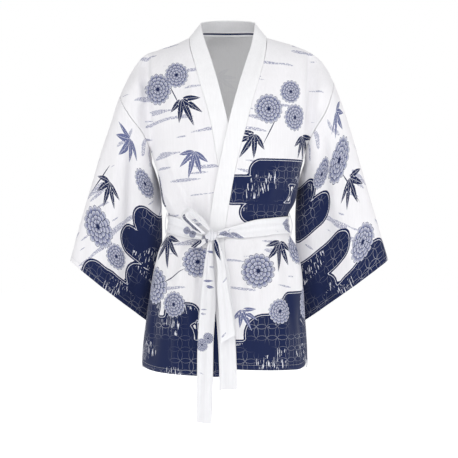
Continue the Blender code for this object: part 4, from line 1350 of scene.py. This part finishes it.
PRINTS = {
    "belt_waist": Layout.read(
        blooms="""
        27 11 11 200, 45 17 10.5 900, 217 13 12.5 400, 221 29 10.5 1100, 560 18 18 200,
        728 9 12 700, 708 6 9.5 100
        """,
        leaves="470 4 80 30 3 1, 330 30 275 26 2.6 1",
    ),
    "bow_loop_upper": Layout.read(
        banks="10 58 16 7.5",
    ),
    "bow_loop_lower": Layout.read(
        leaves="""
        452 2 172 62 4.6 0, 432 16 160 48 3.6 0, 205 26 188 60 3.4 1, 222 14 150 36 2.8 1,
        120 6 95 12 2.2 1
        """,
    ),
    "bow_flap": Layout.read(
        banks="0 20 1 7.5",
    ),
    "tail_long": Layout.read(
        blooms="170 10 15 200, 186 24 13 800",
        leaves="""
        247 2 86 17 1.2 1, 299 10 94 20 3.4 1, 310 2 84 26 2.6 1, 345 21 96 12 1.2 1,
        376 1 88 30 2.6 1
        """,
    ),
    "tail_short": Layout.read(
        leaves="150 30 262 20 1.8 1",
    ),
    "front_right": Layout.read(
        blooms="""
        -118 128 30 300, -165 158 37 900, -70 545 36 200, -190 600 44 500, -128 640 30 1100,
        -205 372 26 0
        """,
        sprays="-105 182 60 62 0, -75 300 100 56 1, -160 490 75 66 0, -60 640 15 52 1",
        stems="-135 150 62 60 1.2 0, -100 560 150 90 1.2 0",
        banks="""
        -300 -120 710 45, -340 90 775 62, -300 -205 640 40, -130 -90 660 26, -40 60 690 36
        """,
    ),
    "front_left": Layout.read(
        blooms="""
        92 205 34 200, 145 165 27 700, 160 222 31 400, 68 565 40 100, 185 520 34 800,
        225 640 38 300, 120 655 29 600
        """,
        sprays="60 262 120 58 0, 190 262 70 60 0, 125 500 95 62 0, 30 650 60 46 1",
        stems="110 225 118 70 1.2 0, 150 505 20 80 1.2 0",
        banks="""
        10 120 385 34, 75 220 345 30, 50 170 435 26, 190 300 400 36, 80 320 705 46,
        -90 360 775 60, 150 205 640 28, 250 320 620 40
        """,
    ),
    "back": Layout.read(
        blooms="""
        -120 210 42 100, -62 170 29 700, -165 150 30 400, 125 300 38 200, 175 255 28 900,
        40 560 44 500, 105 600 30 0, -170 560 40 300, -110 510 28 800, 200 640 40 600
        """,
        sprays="""
        -85 262 80 66 0, -30 110 30 52 1, 90 345 110 62 0, 70 130 60 60 0, -60 590 70 66 0,
        150 500 60 60 1
        """,
        stems="-115 235 75 90 1.3 0, 110 320 130 80 1.3 0, -130 540 20 100 1.3 0",
        banks="""
        -300 -120 385 36, -210 -60 340 28, 80 300 440 32, 160 300 390 30, -320 -80 700 48,
        -360 360 785 70, 60 320 705 46, -300 -190 630 36, 150 240 650 28
        """,
    ),
    "sleeve_right": Layout.read(
        blooms="""
        -58 440 42 200, -118 468 28 700, -150 258 30 500, 150 300 36 100, 70 450 40 600,
        125 480 28 200
        """,
        sprays="-60 330 85 56 0, -95 200 60 60 1, 75 330 60 60 0, 100 205 90 56 1",
        stems="-50 300 70 100 1.2 0, 60 300 70 100 1.2 0",
        banks="""
        -300 -175 345 40, 175 300 345 40, -300 -150 410 36, 150 300 410 36, -300 -90 550 46,
        90 300 550 46, -300 -190 480 40, 190 300 480 40
        """,
    ),
    "sleeve_left": Layout.read(
        blooms="""
        -70 290 38 400, -125 262 27 100, -60 500 36 800, 70 300 38 300, 140 330 29 900,
        60 500 36 0
        """,
        sprays="-55 352 80 60 0, -60 195 70 52 1, 85 370 80 60 0, 110 205 60 56 1",
        stems="-70 320 75 110 1.2 0, 70 330 75 110 1.2 0",
        banks="""
        -300 -150 330 38, 150 300 330 38, -300 -175 270 32, 175 300 270 32,
        -300 -120 450 36, 120 300 450 36, -300 -40 560 40, 40 300 560 40, -300 -180 510 36,
        180 300 510 36
        """,
    ),
}


@dataclass(frozen=True)
class Inks:
    """The print's dyes on the cotton ground."""

    navy: str = "#132049"
    shade: str = "#636A92"
    pale: str = "#E0E1EA"
    mist: str = "#8F92AD"


class PrintNodes:
    """Draws the print over the flat cloth, from the mesh's attributes."""

    # Share of the radius, petals in the ring, and its start angle
    RINGS = ((1.00, 16.0, 0.0), (0.77, 13.0, 0.4), (0.54, 10.0, 0.1), (0.33, 7.0, 0.7))

    def __init__(self, wire: Wiring, inks: Inks, marks: bool) -> None:
        """Keeps the tree, the dyes, and whether marks take the place of mist."""
        self.wire = wire
        self.inks = inks
        self.marks = marks
        place = wire.add("UVMap", {"uv_map": "flat_cloth"})
        parts = wire.add("SeparateXYZ", Vector=place.outputs[0])
        self.place = place.outputs[0]
        self.u, self.v = parts.outputs[0], parts.outputs[1]

    def noise(
        self, across: float, down: float, detail: float = 2.0, place: Optional[Socket] = None
    ) -> Socket:
        """Noise over the flat cloth, with its scale each way in cells for each metre."""
        wire = self.wire
        stretched = wire.add(
            "VectorMath",
            {"operation": "MULTIPLY"},
            i0=place or self.place,
            i1=(across, down, 1.0),
        )
        made = wire.add("TexNoise", Vector=stretched.outputs[0], Scale=1.0)
        made.inputs["Detail"].default_value = detail
        return made.outputs[0]

    def values(self, name: str) -> tuple[Socket, Socket, Socket]:
        """The three numbers of a face attribute."""
        read = self.wire.add("Attribute", {"attribute_name": name})
        parts = self.wire.add("SeparateXYZ", Vector=read.outputs["Vector"])
        return parts.outputs[0], parts.outputs[1], parts.outputs[2]

    def mist(self, colour: Value) -> Socket:
        """Thin broken streaks of grey mist."""
        math_ = self.wire.math
        across, down, least = (78.0, 26.0, 0.715) if self.marks else (8.0, 64.0, 0.635)
        place = self.wire.add("UVMap", {"uv_map": "flat_streaks"}).outputs[0]
        streak = math_("GREATER_THAN", self.noise(across, down, 1.0, place), least)
        broken = math_("GREATER_THAN", self.noise(240.0, 700.0, 2.0), 0.46)
        share = math_("MULTIPLY", math_("MULTIPLY", streak, broken), 0.85)
        return self.wire.mix(share, colour, linear(self.inks.mist))

    def banks(self, colour: Value) -> Socket:
        """Navy mist banks with a pale line inside the edge and a pattern of rings."""
        math_ = self.wire.math
        read = self.wire.add("Attribute", {"attribute_name": "ground"})
        wobble = math_("MULTIPLY_ADD", self.noise(420.0, 420.0), 0.0012, -0.0006)
        ground = math_("ADD", read.outputs["Fac"], wobble)
        inside = math_("GREATER_THAN", ground, 0.0)
        colour = self.wire.mix(inside, colour, linear(self.inks.navy))
        line = math_("COMPARE", ground, 0.0042, 0.00055)
        colour = self.wire.mix(line, colour, linear(self.inks.pale))
        deep = math_("GREATER_THAN", ground, 0.0080)
        rings = math_("MULTIPLY", self.rings(RING_CELL), deep)
        worn = math_("MULTIPLY_ADD", self.noise(9.0, 12.0, 1.0), 4.0, -1.75, clamp=True)
        share = math_("MULTIPLY", math_("MULTIPLY", rings, worn), 0.55)
        colour = self.wire.mix(share, colour, linear(self.inks.pale))
        dry = math_("GREATER_THAN", self.noise(11.0, 15.0, 1.0), 0.56)
        brushed = math_("GREATER_THAN", self.noise(420.0, 46.0, 2.0), 0.60)
        share = math_("MULTIPLY", math_("MULTIPLY", brushed, deep), dry)
        return self.wire.mix(share, colour, linear(self.inks.pale))

    def rings(self, size: float) -> Socket:
        """Lines of the traditional pattern of linked rings, on a square lattice."""
        math_ = self.wire.math
        x = math_("ABSOLUTE", math_("SUBTRACT", math_("FRACT", math_("DIVIDE", self.u, size)), 0.5))
        y = math_("ABSOLUTE", math_("SUBTRACT", math_("FRACT", math_("DIVIDE", self.v, size)), 0.5))
        lines = []
        for a, b in ((x, y), (y, x)):
            far = math_("ADD", a, 0.5)
            near = math_("SUBTRACT", 0.5, b)
            square = math_("MULTIPLY_ADD", far, far, math_("MULTIPLY", near, near))
            lines.append(math_("COMPARE", math_("SQRT", square), 0.7071, 0.013))
        return math_("MAXIMUM", *lines)

    def strokes(self, colour: Value, name: str, ribbed: bool) -> Socket:
        """Leaves or stems: a pointed stroke along each one's middle line."""
        math_ = self.wire.math
        x, y, angle = self.values(name)
        length, width, tone = self.values(name + "_size")
        du, dv = math_("SUBTRACT", self.u, x), math_("SUBTRACT", self.v, y)
        c, s = math_("COSINE", angle), math_("SINE", angle)
        along = math_("MULTIPLY_ADD", du, c, math_("MULTIPLY", dv, s))
        across = math_("SUBTRACT", math_("MULTIPLY", dv, c), math_("MULTIPLY", du, s))
        share = math_("DIVIDE", along, length)
        bell = math_("SINE", math_("MULTIPLY", math_("POWER", share, 0.75, clamp=True), math.pi))
        half = math_("MULTIPLY", width, bell)
        away = math_("ABSOLUTE", across)
        within = math_("COMPARE", share, 0.5, 0.49)
        inside = math_("MULTIPLY", within, math_("LESS_THAN", away, half))
        ink = self.wire.mix(tone, linear(self.inks.navy), linear(self.inks.shade))
        if ribbed:
            rib = math_("LESS_THAN", away, 0.00028)
            dry = math_("GREATER_THAN", self.noise(300.0, 520.0), 0.66)
            ink = self.wire.mix(math_("MAXIMUM", rib, dry), ink, linear(self.inks.pale))
        return self.wire.mix(inside, colour, ink)

    def blooms(self, colour: Value) -> Socket:
        """Chrysanthemum heads: rings of petals from the outside in, each outlined."""
        math_ = self.wire.math
        x, y, radius = self.values("bloom")
        turn = self.wire.add("Attribute", {"attribute_name": "bloom_turn"})
        dx = math_("DIVIDE", math_("SUBTRACT", self.u, x), radius)
        dy = math_("DIVIDE", math_("SUBTRACT", self.v, y), radius)
        r = math_("SQRT", math_("MULTIPLY_ADD", dx, dx, math_("MULTIPLY", dy, dy)))
        r = math_("MULTIPLY_ADD", self.noise(160.0, 160.0), 0.10, math_("SUBTRACT", r, 0.05))
        angle = math_("ADD", math_("ARCTAN2", dy, dx), turn.outputs["Fac"])
        outside = 1.0
        for size, petals, start in self.RINGS:
            half_turn = math_("MULTIPLY_ADD", angle, petals / 2, start)
            wave = math_("ABSOLUTE", math_("COSINE", half_turn))
            edge = math_("MULTIPLY_ADD", math_("POWER", wave, 0.6), 0.15 * size, 0.83 * size)
            inside = math_("LESS_THAN", r, edge)
            depth = math_("DIVIDE", math_("SUBTRACT", edge, r), 0.24, clamp=True)
            shade = math_("POWER", depth, 0.8)
            fill = self.wire.mix(shade, linear(self.inks.pale), linear(self.inks.shade))
            split = math_("MULTIPLY", math_("MULTIPLY", wave, r), 2 / petals)
            rim = math_("COMPARE", r, edge, 0.026)
            line = math_("MAXIMUM", math_("LESS_THAN", split, 0.017), rim)
            fill = self.wire.mix(line, fill, linear(self.inks.navy))
            colour = self.wire.mix(inside, colour, fill)
            outside = size
        heart = math_("LESS_THAN", r, outside * 0.36)
        return self.wire.mix(heart, colour, linear(self.inks.navy))

    def colour(self, ground: str) -> Socket:
        """The whole print over a ground colour."""
        colour = self.banks(self.mist(linear(ground)))
        colour = self.strokes(colour, "stem", ribbed=False)
        return self.blooms(self.strokes(colour, "leaf", ribbed=True))


@dataclass(frozen=True)
class PrintedCotton(Cotton):
    """Cotton printed with the navy design.

    Attributes:
        strength: 1 on the face, and less on the reverse, where the dye shows through.
        marks: small broken marks in place of the streaks of mist.
        inks: the dyes.
    """

    strength: float = 1.0
    marks: bool = False
    stitched: bool = True
    inks: Inks = Inks()

    def paint(self, wire: Wiring) -> Value:
        """The print over the ground, as strong as it shows."""
        drawn = PrintNodes(wire, self.inks, self.marks).colour(self.colour)
        return wire.mix(self.strength, linear(self.colour), drawn)


@dataclass(frozen=True)
class LinedTape(Cotton):
    """White tape with one navy line woven along it.

    Attributes:
        line: its navy.
        middle, half: where the line lies across the tape, in metres.
    """

    line: str = "#2A3356"
    middle: float = 0.0072
    half: float = 0.0020

    def paint(self, wire: Wiring) -> Value:
        """White with the line where the flat plan's second value meets it."""
        flat = wire.add("UVMap", {"uv_map": "flat_cloth"}).outputs[0]
        across = wire.add("SeparateXYZ", Vector=flat).outputs[1]
        on_line = wire.math("COMPARE", across, self.middle, self.half)
        return wire.mix(on_line, linear(self.colour), linear(self.line))


# White cotton of the neck band
BAND_COTTON = Cotton("plain_white_cotton", "#F1F1F3")
# White cotton ground of the print
PRINT_COTTON = PrintedCotton("cotton_with_navy_print", "#EEEDF0")
# White tape with a woven navy line
TAPE_COTTON = LinedTape("white_tape_with_navy_line", "#F1F1F3")
# Reverse of the printed cotton, as seen inside the neck; the print shows through it weakly, and its
# ground, whiter than the face's, is painted light on the inside of the cloth
REVERSE_COTTON_PAINTED_LIGHT = PrintedCotton("reverse_of_printed_cotton_painted_light", "#FCFCFD", strength=0.07)
# Belt cloth, the same cotton
BELT_COTTON = PrintedCotton("cotton_of_the_belt", "#EEEEF1", marks=True, stitched=False)
# The belt's cotton where the knot hides its print, a darker copy whose tone is painted shade on the
# knot
KNOT_COTTON_PAINTED_SHADE = Cotton("plain_cotton_of_the_knot_painted_shade", "#E6E6EB")
# Cotton thread of the belt carriers
THREAD = Cotton("twisted_cotton_thread", "#DCDCE2")


def placed(name: str, data: bpy.types.ID, node: str, slot: str) -> bpy.types.Object:
    """Adds an object that stands for a node and rides on the one body.

    Args:
        name: the new object's name.
        data: its mesh or curve.
        node: the solid that it replaces.
        slot: the record's material slot.

    Returns:
        The object.
    """
    thing = bpy.data.objects.new(name, data)
    bpy.context.scene.collection.objects.link(thing)
    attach(thing, "root")
    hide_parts(node)
    log.info("%s stands for %s, in %s", name, node, slot)
    return thing


def corners(grid: np.ndarray) -> np.ndarray:
    """Values at the four corners of each cell of a grid, in order round it."""
    return np.stack([grid[:-1, :-1], grid[:-1, 1:], grid[1:, 1:], grid[1:, :-1]], axis=2)


@dataclass
class Piece:
    """One shown piece of the garment: a sheet with a wall and its finish.

    Attributes:
        node: the solid that it stands for, also its name.
        slot: the record's material slot.
        maker: what makes its sheet.
        wall: its thickness.
        outside, inside: its finishes.
        flat: width and length of its cloth before sewing, in metres; not used here.
        area: its flat area where the cut isn't a rectangle; not used here.
        rests_on: what it hangs from or lies on; not used here.
    """

    node: str
    slot: str
    maker: Maker
    wall: float
    outside: Cotton
    inside: Cotton
    flat: tuple[float, float]
    rests_on: tuple[str, ...]
    area: Optional[float] = None

    def build(self) -> bpy.types.Object:
        sheet = self.maker.sheet()
        rows, columns = sheet.grid.shape[:2]
        index = np.arange(rows * columns).reshape(rows, columns)
        if sheet.tube:
            index = np.concatenate([index, index[:, :1]], axis=1)
        mesh = bpy.data.meshes.new(self.node)
        points = sheet.grid.reshape(-1, 3).tolist()
        mesh.from_pydata(points, [], corners(index).reshape(-1, 4).tolist())
        loops = corners(sheet.flat)
        streaks = loops if sheet.streaks is None else corners(sheet.streaks)
        for name, plan in (("flat_cloth", loops), ("flat_streaks", streaks)):
            layer = mesh.uv_layers.new(name=name)
            layer.data.foreach_set("uv", plan.reshape(-1).astype(np.float32))
        hem = np.ones((rows, columns)) if sheet.hem is None else sheet.hem
        Layout.write(mesh, "hem", "FLOAT", "POINT", "value", hem)
        if self.slot in ("printed_cotton", "belt_cotton"):
            on_points = sheet.flat[:, :columns].reshape(-1, 2)
            PRINTS.get(self.node, Layout()).mark(mesh, on_points, loops.mean(axis=2).reshape(-1, 2))
        mesh.materials.append(self.outside.made())
        mesh.materials.append(self.inside.made())
        mesh.shade_smooth()
        if not self.outward_first(sheet):
            mesh.flip_normals()
        piece = placed(self.node + "_cloth", mesh, self.node, self.slot)
        wall = piece.modifiers.new("wall", "SOLIDIFY")
        wall.thickness = self.wall
        wall.offset = 0.0
        wall.material_offset = 1
        wall.use_rim = True
        return piece

    @staticmethod
    def outward_first(sheet: Sheet) -> bool:
        """Whether the faces as built look away from the middle of the garment."""
        grid = sheet.grid
        i, j = grid.shape[0] // 2, grid.shape[1] // 4
        normal = np.cross(grid[i, j + 1] - grid[i, j], grid[i + 1, j] - grid[i, j])
        centre = grid.reshape(-1, 3).mean(0) if sheet.tube else np.array([0, 0, grid[i, j, 2]])
        return float(np.dot(normal, grid[i, j] - centre)) > 0


@dataclass
class Knot:
    """The knot: a round lump wrapped by the belt, with its turns as ridges."""

    def build(self) -> bpy.types.Object:
        """Makes the knot."""
        rings, segments = 48, 72
        polar = np.linspace(0, np.pi, rings + 1)[1:-1, None]
        around = np.linspace(0, 2 * np.pi, segments, endpoint=False)[None, :]
        x = np.sin(polar) * np.cos(around)
        y = np.sin(polar) * np.sin(around)
        z = np.cos(polar) + 0 * around
        turns = np.abs(np.sin(4.6 * x - 1.9 * z + 0.4)) ** 0.7
        pleats = 0.05 * np.sin(13.0 * x - 5.0 * z) * np.sin(polar)
        scale = 0.56 + 0.46 * turns * np.sin(polar) + 0.36 * (1 - np.sin(polar)) + pleats
        points = np.stack([x * scale, y * scale, z * scale], axis=-1).reshape(-1, 3)
        points = np.concatenate([points, [[0, 0, 0.97], [0, 0, -0.97]]]) * np.array(KNOT_SIZE)
        c, s = math.cos(KNOT_LEAN), math.sin(KNOT_LEAN)
        turned = points @ np.array([[c, 0, -s], [0, 1, 0], [s, 0, c]]).T
        points = turned + np.array(KNOT_CENTRE)
        index = np.arange((rings - 1) * segments).reshape(rings - 1, segments)
        index = np.concatenate([index, index[:, :1]], axis=1)
        quads = np.stack([index[:-1, :-1], index[1:, :-1], index[1:, 1:], index[:-1, 1:]], -1)
        faces = quads.reshape(-1, 4).tolist()
        top, bottom = len(points) - 2, len(points) - 1
        faces += [[top, a, b] for a, b in zip(index[0, :-1].tolist(), index[0, 1:].tolist())]
        faces += [[bottom, b, a] for a, b in zip(index[-1, :-1].tolist(), index[-1, 1:].tolist())]
        mesh = bpy.data.meshes.new("belt_knot")
        mesh.from_pydata(points.tolist(), [], faces)
        # Painted shade: the knot's cotton is darker than the belt's ground
        mesh.materials.append(KNOT_COTTON_PAINTED_SHADE.made())
        mesh.shade_smooth()
        return placed("belt_knot_cloth", mesh, "belt_knot", "belt_cotton")


@dataclass
class Carrier:
    """A thread belt carrier at a side seam."""

    side: Side
    angle: float

    def build(self) -> bpy.types.Object:
        """Makes the thread as a swept curve from over the belt to under it."""
        low, high = float(BELT.at("low", self.angle)), float(BELT.at("high", self.angle))
        at = np.linspace(0, 1, 33)
        z = high + CARRIER_OVER + (low - high - CARRIER_REACH) * at
        off = CARRIER_ROOT + CARRIER_BULGE * np.sin(np.pi * at)
        points = Form.around(np.full_like(z, self.angle), z, off)
        name = f"carrier_{self.side.word}"
        line = bpy.data.curves.new(name, "CURVE")
        line.dimensions = "3D"
        line.bevel_depth = THREAD_HALF
        line.bevel_resolution = 2
        line.use_fill_caps = True
        spline = line.splines.new("POLY")
        spline.points.add(len(points) - 1)
        for point, place in zip(spline.points, points):
            point.co = (*place, 1.0)
        line.materials.append(THREAD.made())
        return placed(name + "_thread", line, name, "white_thread")


@dataclass
class Studio:
    """Pale floor, soft lights and the photo's camera.

    Attributes:
        floor_z: height of the floor.
        ambient: light from all round; the background itself shows white.
        paper: how far the floor's own white is lifted to the background's.
    """

    floor_z: float = -1.02
    ambient: float = 0.39
    paper: float = 0.62

    def build(self) -> None:
        """Adds the stage, the lights and the camera."""
        self.sweep()
        self.light("key_light", (2.6, -1.3, 0.7), 0.6, 17.0)
        self.light("fill_light", (-2.0, -2.2, 0.5), 1.0, 10.0)
        self.light("top_light", (-0.2, -1.7, 2.1), 0.8, 23.0)
        self.light("back_light", (0.0, 2.6, 0.9), 2.0, 20.0)
        world = bpy.data.worlds.new("studio")
        world.use_nodes = True
        tree = world.node_tree
        tree.nodes.clear()
        wire = Wiring(tree)
        seen = wire.add("LightPath").outputs["Is Camera Ray"]
        strength = wire.math("MULTIPLY_ADD", seen, 1.0 - self.ambient, self.ambient)
        light = wire.add("Background", Color=(1, 1, 1, 1), Strength=strength)
        out = wire.add("OutputWorld")
        tree.links.new(light.outputs[0], out.inputs[0])
        bpy.context.scene.world = world
        bpy.context.scene.view_settings.view_transform = "Standard"
        data = bpy.data.cameras.new("camera")
        data.sensor_width = CAMERA_SENSOR
        data.lens = CAMERA_SENSOR * -CAMERA_AT[1] / CAMERA_SPAN
        camera = bpy.data.objects.new("camera", data)
        camera.location = CAMERA_AT
        camera.rotation_euler = (math.pi / 2, 0, 0)
        bpy.context.scene.collection.objects.link(camera)
        bpy.context.scene.camera = camera

    def sweep(self) -> None:
        """Adds the floor's white paper."""
        mesh = bpy.data.meshes.new("studio_floor")
        reach = ((-1, -1), (1, -1), (1, 1), (-1, 1))
        points = [(FLOOR_HALF * x, FLOOR_HALF * y, self.floor_z) for x, y in reach]
        mesh.from_pydata(points, [], [[0, 1, 2, 3]])
        material = bpy.data.materials.new("studio_paper")
        material.use_nodes = True
        shader = material.node_tree.nodes["Principled BSDF"]
        shader.inputs["Base Color"].default_value = linear("#FDFDFD")
        shader.inputs["Roughness"].default_value = 1.0
        shader.inputs["Emission Color"].default_value = (1.0, 1.0, 1.0, 1.0)
        shader.inputs["Emission Strength"].default_value = self.paper
        mesh.materials.append(material)
        floor = bpy.data.objects.new("studio_floor", mesh)
        bpy.context.scene.collection.objects.link(floor)

    @staticmethod
    def light(name: str, at: tuple[float, float, float], size: float, power: float) -> None:
        """Adds a square area light that points at the garment."""
        data = bpy.data.lights.new(name, "AREA")
        data.size = size
        data.energy = power
        lamp = bpy.data.objects.new(name, data)
        lamp.location = at
        aim = Vector((0, 0, -0.4)) - Vector(at)
        lamp.rotation_euler = aim.to_track_quat("-Z", "Y").to_euler()
        bpy.context.scene.collection.objects.link(lamp)


# Creases in the front view: ends, half width, height, skew
FRONT_RIGHT_CREASES = folds("""
-177 -225 -188 -5 19 -17 900
-214 -80 -186 -170 10.8 4.3 0
-120 -15 -135 -230 15.3 4.3 300
-92 -30 -62 -300 7.2 3.2 0
-150 -230 -85 -405 9.9 4.9 400
-120 -290 -60 -420 6.3 -3.8 0
-158 -330 -110 -402 6.3 4.3 400
-45 -330 -40 -425 5.4 3.2 0
-150 -455 -165 -620 9 6.8 400
-118 -458 -140 -660 8.1 -7.2 300
-95 -460 -110 -560 6.3 6.4 400
-70 -462 -90 -700 9.9 6 200
-56 -465 -66 -570 5.4 -4.9 0
-160 -560 -172 -745 11.7 -7.5 300
-110 -610 -118 -750 10.8 7.2 300
""")
FRONT_LEFT_CREASES = folds("""
188 -10 177 -235 17 -14 880
216 -90 188 -180 10.8 4.1 0
125 -10 140 -210 16.2 4.1 300
88 -80 60 -250 9 3.5 0
140 -240 80 -390 9.9 4.6 400
105 -270 45 -400 7.2 -4.1 0
155 -320 110 -395 6.3 4.1 400
62 -320 22 -410 6.3 3.8 400
40 -465 50 -620 8.1 5.3 300
70 -455 90 -700 9 -6.4 300
96 -452 112 -560 7.2 6.4 400
122 -450 140 -660 9 -6.4 300
148 -450 162 -590 7.2 6 400
125 -600 130 -742 11.7 6.8 300
160 -600 168 -735 9 -6 300
""")
BACK_CREASES = folds("""
-192 -50 -176 -225 10.8 -5.8 400
192 -50 176 -225 10.8 -5.8 400
-120 -40 -110 -320 16.2 4.3 300
110 -60 125 -290 18 4.1 300
-30 -90 -20 -370 14.4 -3.5 0
40 -130 30 -390 10.8 3.8 0
-80 -250 -70 -395 8.1 4.3 400
85 -270 70 -395 7.2 -4.1 0
-130 -300 -105 -395 7.2 4.3 400
-100 -455 -125 -700 10.8 7.2 300
-60 -455 -70 -620 8.1 -6.4 300
-15 -455 -22 -740 12.6 6.4 200
35 -455 45 -590 8.1 5.6 400
75 -455 95 -730 10.8 -7.2 300
115 -455 140 -640 9 6.4 400
-150 -455 -168 -640 9 -6.4 300
""")
# Creases of a sleeve: share along it and place across it, from -1 inside to 1 outside
SLEEVE_FRONT_CREASES = {
    Side.RIGHT: folds("""
980 -320 -20 160 260 -13 900
350 -550 1150 -500 200 -6 600
50 450 950 380 170 4.2 300
250 780 1100 700 100 -3.4 200
450 200 1200 220 130 5 400
100 -800 550 -740 100 3.6 300
"""),
    Side.LEFT: folds("""
900 -260 -20 120 240 -10.5 850
400 -500 1150 -420 220 -6.2 600
50 500 850 460 150 4 300
300 800 1150 720 100 -3.2 200
500 160 1200 220 140 4.2 400
120 -780 600 -720 100 3.4 300
"""),
}
SLEEVE_BACK_CREASES = {
    Side.RIGHT: folds("""
100 100 900 50 280 -9 700
300 -500 1150 -440 180 5 500
200 550 1100 500 140 -4.2 300
50 350 600 320 120 3.6 300
"""),
    Side.LEFT: folds("""
150 0 950 -50 260 -9 700
250 -550 1100 -500 200 5.2 500
150 500 1150 440 150 -4 300
50 300 550 260 120 3.4 300
"""),
}


def garment() -> list[Piece]:
    """Every piece of cloth, with its finish and its size before sewing."""
    # The reverse's whiter ground is painted light on the inside of each printed piece
    printed = ("printed_cotton", CLOTH, PRINT_COTTON, REVERSE_COTTON_PAINTED_LIGHT)
    plain = ("white_cotton", BAND_CLOTH, BAND_COTTON, BAND_COTTON)
    belt = ("belt_cotton", BELT_CLOTH, BELT_COTTON, BELT_COTTON)
    tape = ("white_cotton", TAPE_CLOTH, TAPE_COTTON, TAPE_COTTON)
    creases = {Side.RIGHT: FRONT_RIGHT_CREASES, Side.LEFT: FRONT_LEFT_CREASES}

    def piece(
        node: str, look: tuple, maker: Maker, flat: tuple, area: float, rests_on: str
    ) -> Piece:
        """One piece that hangs from, or lies on, another one."""
        slot, wall, outside, inside = look
        return Piece(node, slot, maker, wall, outside, inside, flat, (rests_on + "_cloth",), area)

    back = BackPanel(BACK_CREASES)
    fronts = {side: FrontPanel(side, creases[side]) for side in Side}
    sleeves = {
        side: Sleeve(side, SLEEVE_FRONT_CREASES[side], SLEEVE_BACK_CREASES[side]) for side in Side
    }
    flap = HangingStrip(FLAP, hug=1.0, fold=0.0004, columns=30)
    long_end = HangingStrip(TAIL_LONG, fold=0.0026)
    low_loop = HangingStrip(LOOP_LOWER)
    return [
        piece("back", printed, back, (0.68, 0.83), 0.375, "band_back"),
        piece("front_right", printed, fronts[Side.RIGHT], (0.30, 0.82), 0.163, "back"),
        piece("front_left", printed, fronts[Side.LEFT], (0.26, 0.81), 0.160, "back"),
        piece("sleeve_right", printed, sleeves[Side.RIGHT], (0.56, 0.42), 0.174, "front_right"),
        piece("sleeve_left", printed, sleeves[Side.LEFT], (0.56, 0.43), 0.178, "front_left"),
        piece("band_right", plain, FrontBand(Side.RIGHT), (0.046, 0.84), 0.0318, "front_right"),
        piece("band_left", plain, FrontBand(Side.LEFT), (0.047, 0.84), 0.0313, "front_left"),
        piece("band_back", plain, BackBand(), (0.045, 0.26), 0.0074, "back"),
        piece("neck_tape", tape, NeckTape(), (0.013, 0.20), 0.0025, "band_back"),
        piece("belt_waist", belt, WaistBelt(), (0.040, 0.77), 0.0282, "back"),
        piece("bow_loop_upper", belt, UpperLoop(), (0.031, 0.163), 0.0034, "belt_knot"),
        piece("bow_loop_lower", belt, low_loop, (0.037, 0.455), 0.0101, "belt_knot"),
        piece("bow_flap", belt, flap, (0.015, 0.037), 0.0004, "belt_waist"),
        piece("tail_long", belt, long_end, (0.036, 0.40), 0.0124, "belt_knot"),
        piece("tail_short", belt, HangingStrip(TAIL_SHORT), (0.040, 0.336), 0.0102, "belt_knot"),
    ]


def main() -> None:
    """Builds the garment's looks and the studio."""
    logging.basicConfig(level=logging.INFO, format="%(message)s")
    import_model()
    for piece in garment():
        piece.build()
    Knot().build()
    Carrier(Side.RIGHT, 180.0).build()
    Carrier(Side.LEFT, 0.0).build()
    Studio().build()


if __name__ == "__main__":
    main()
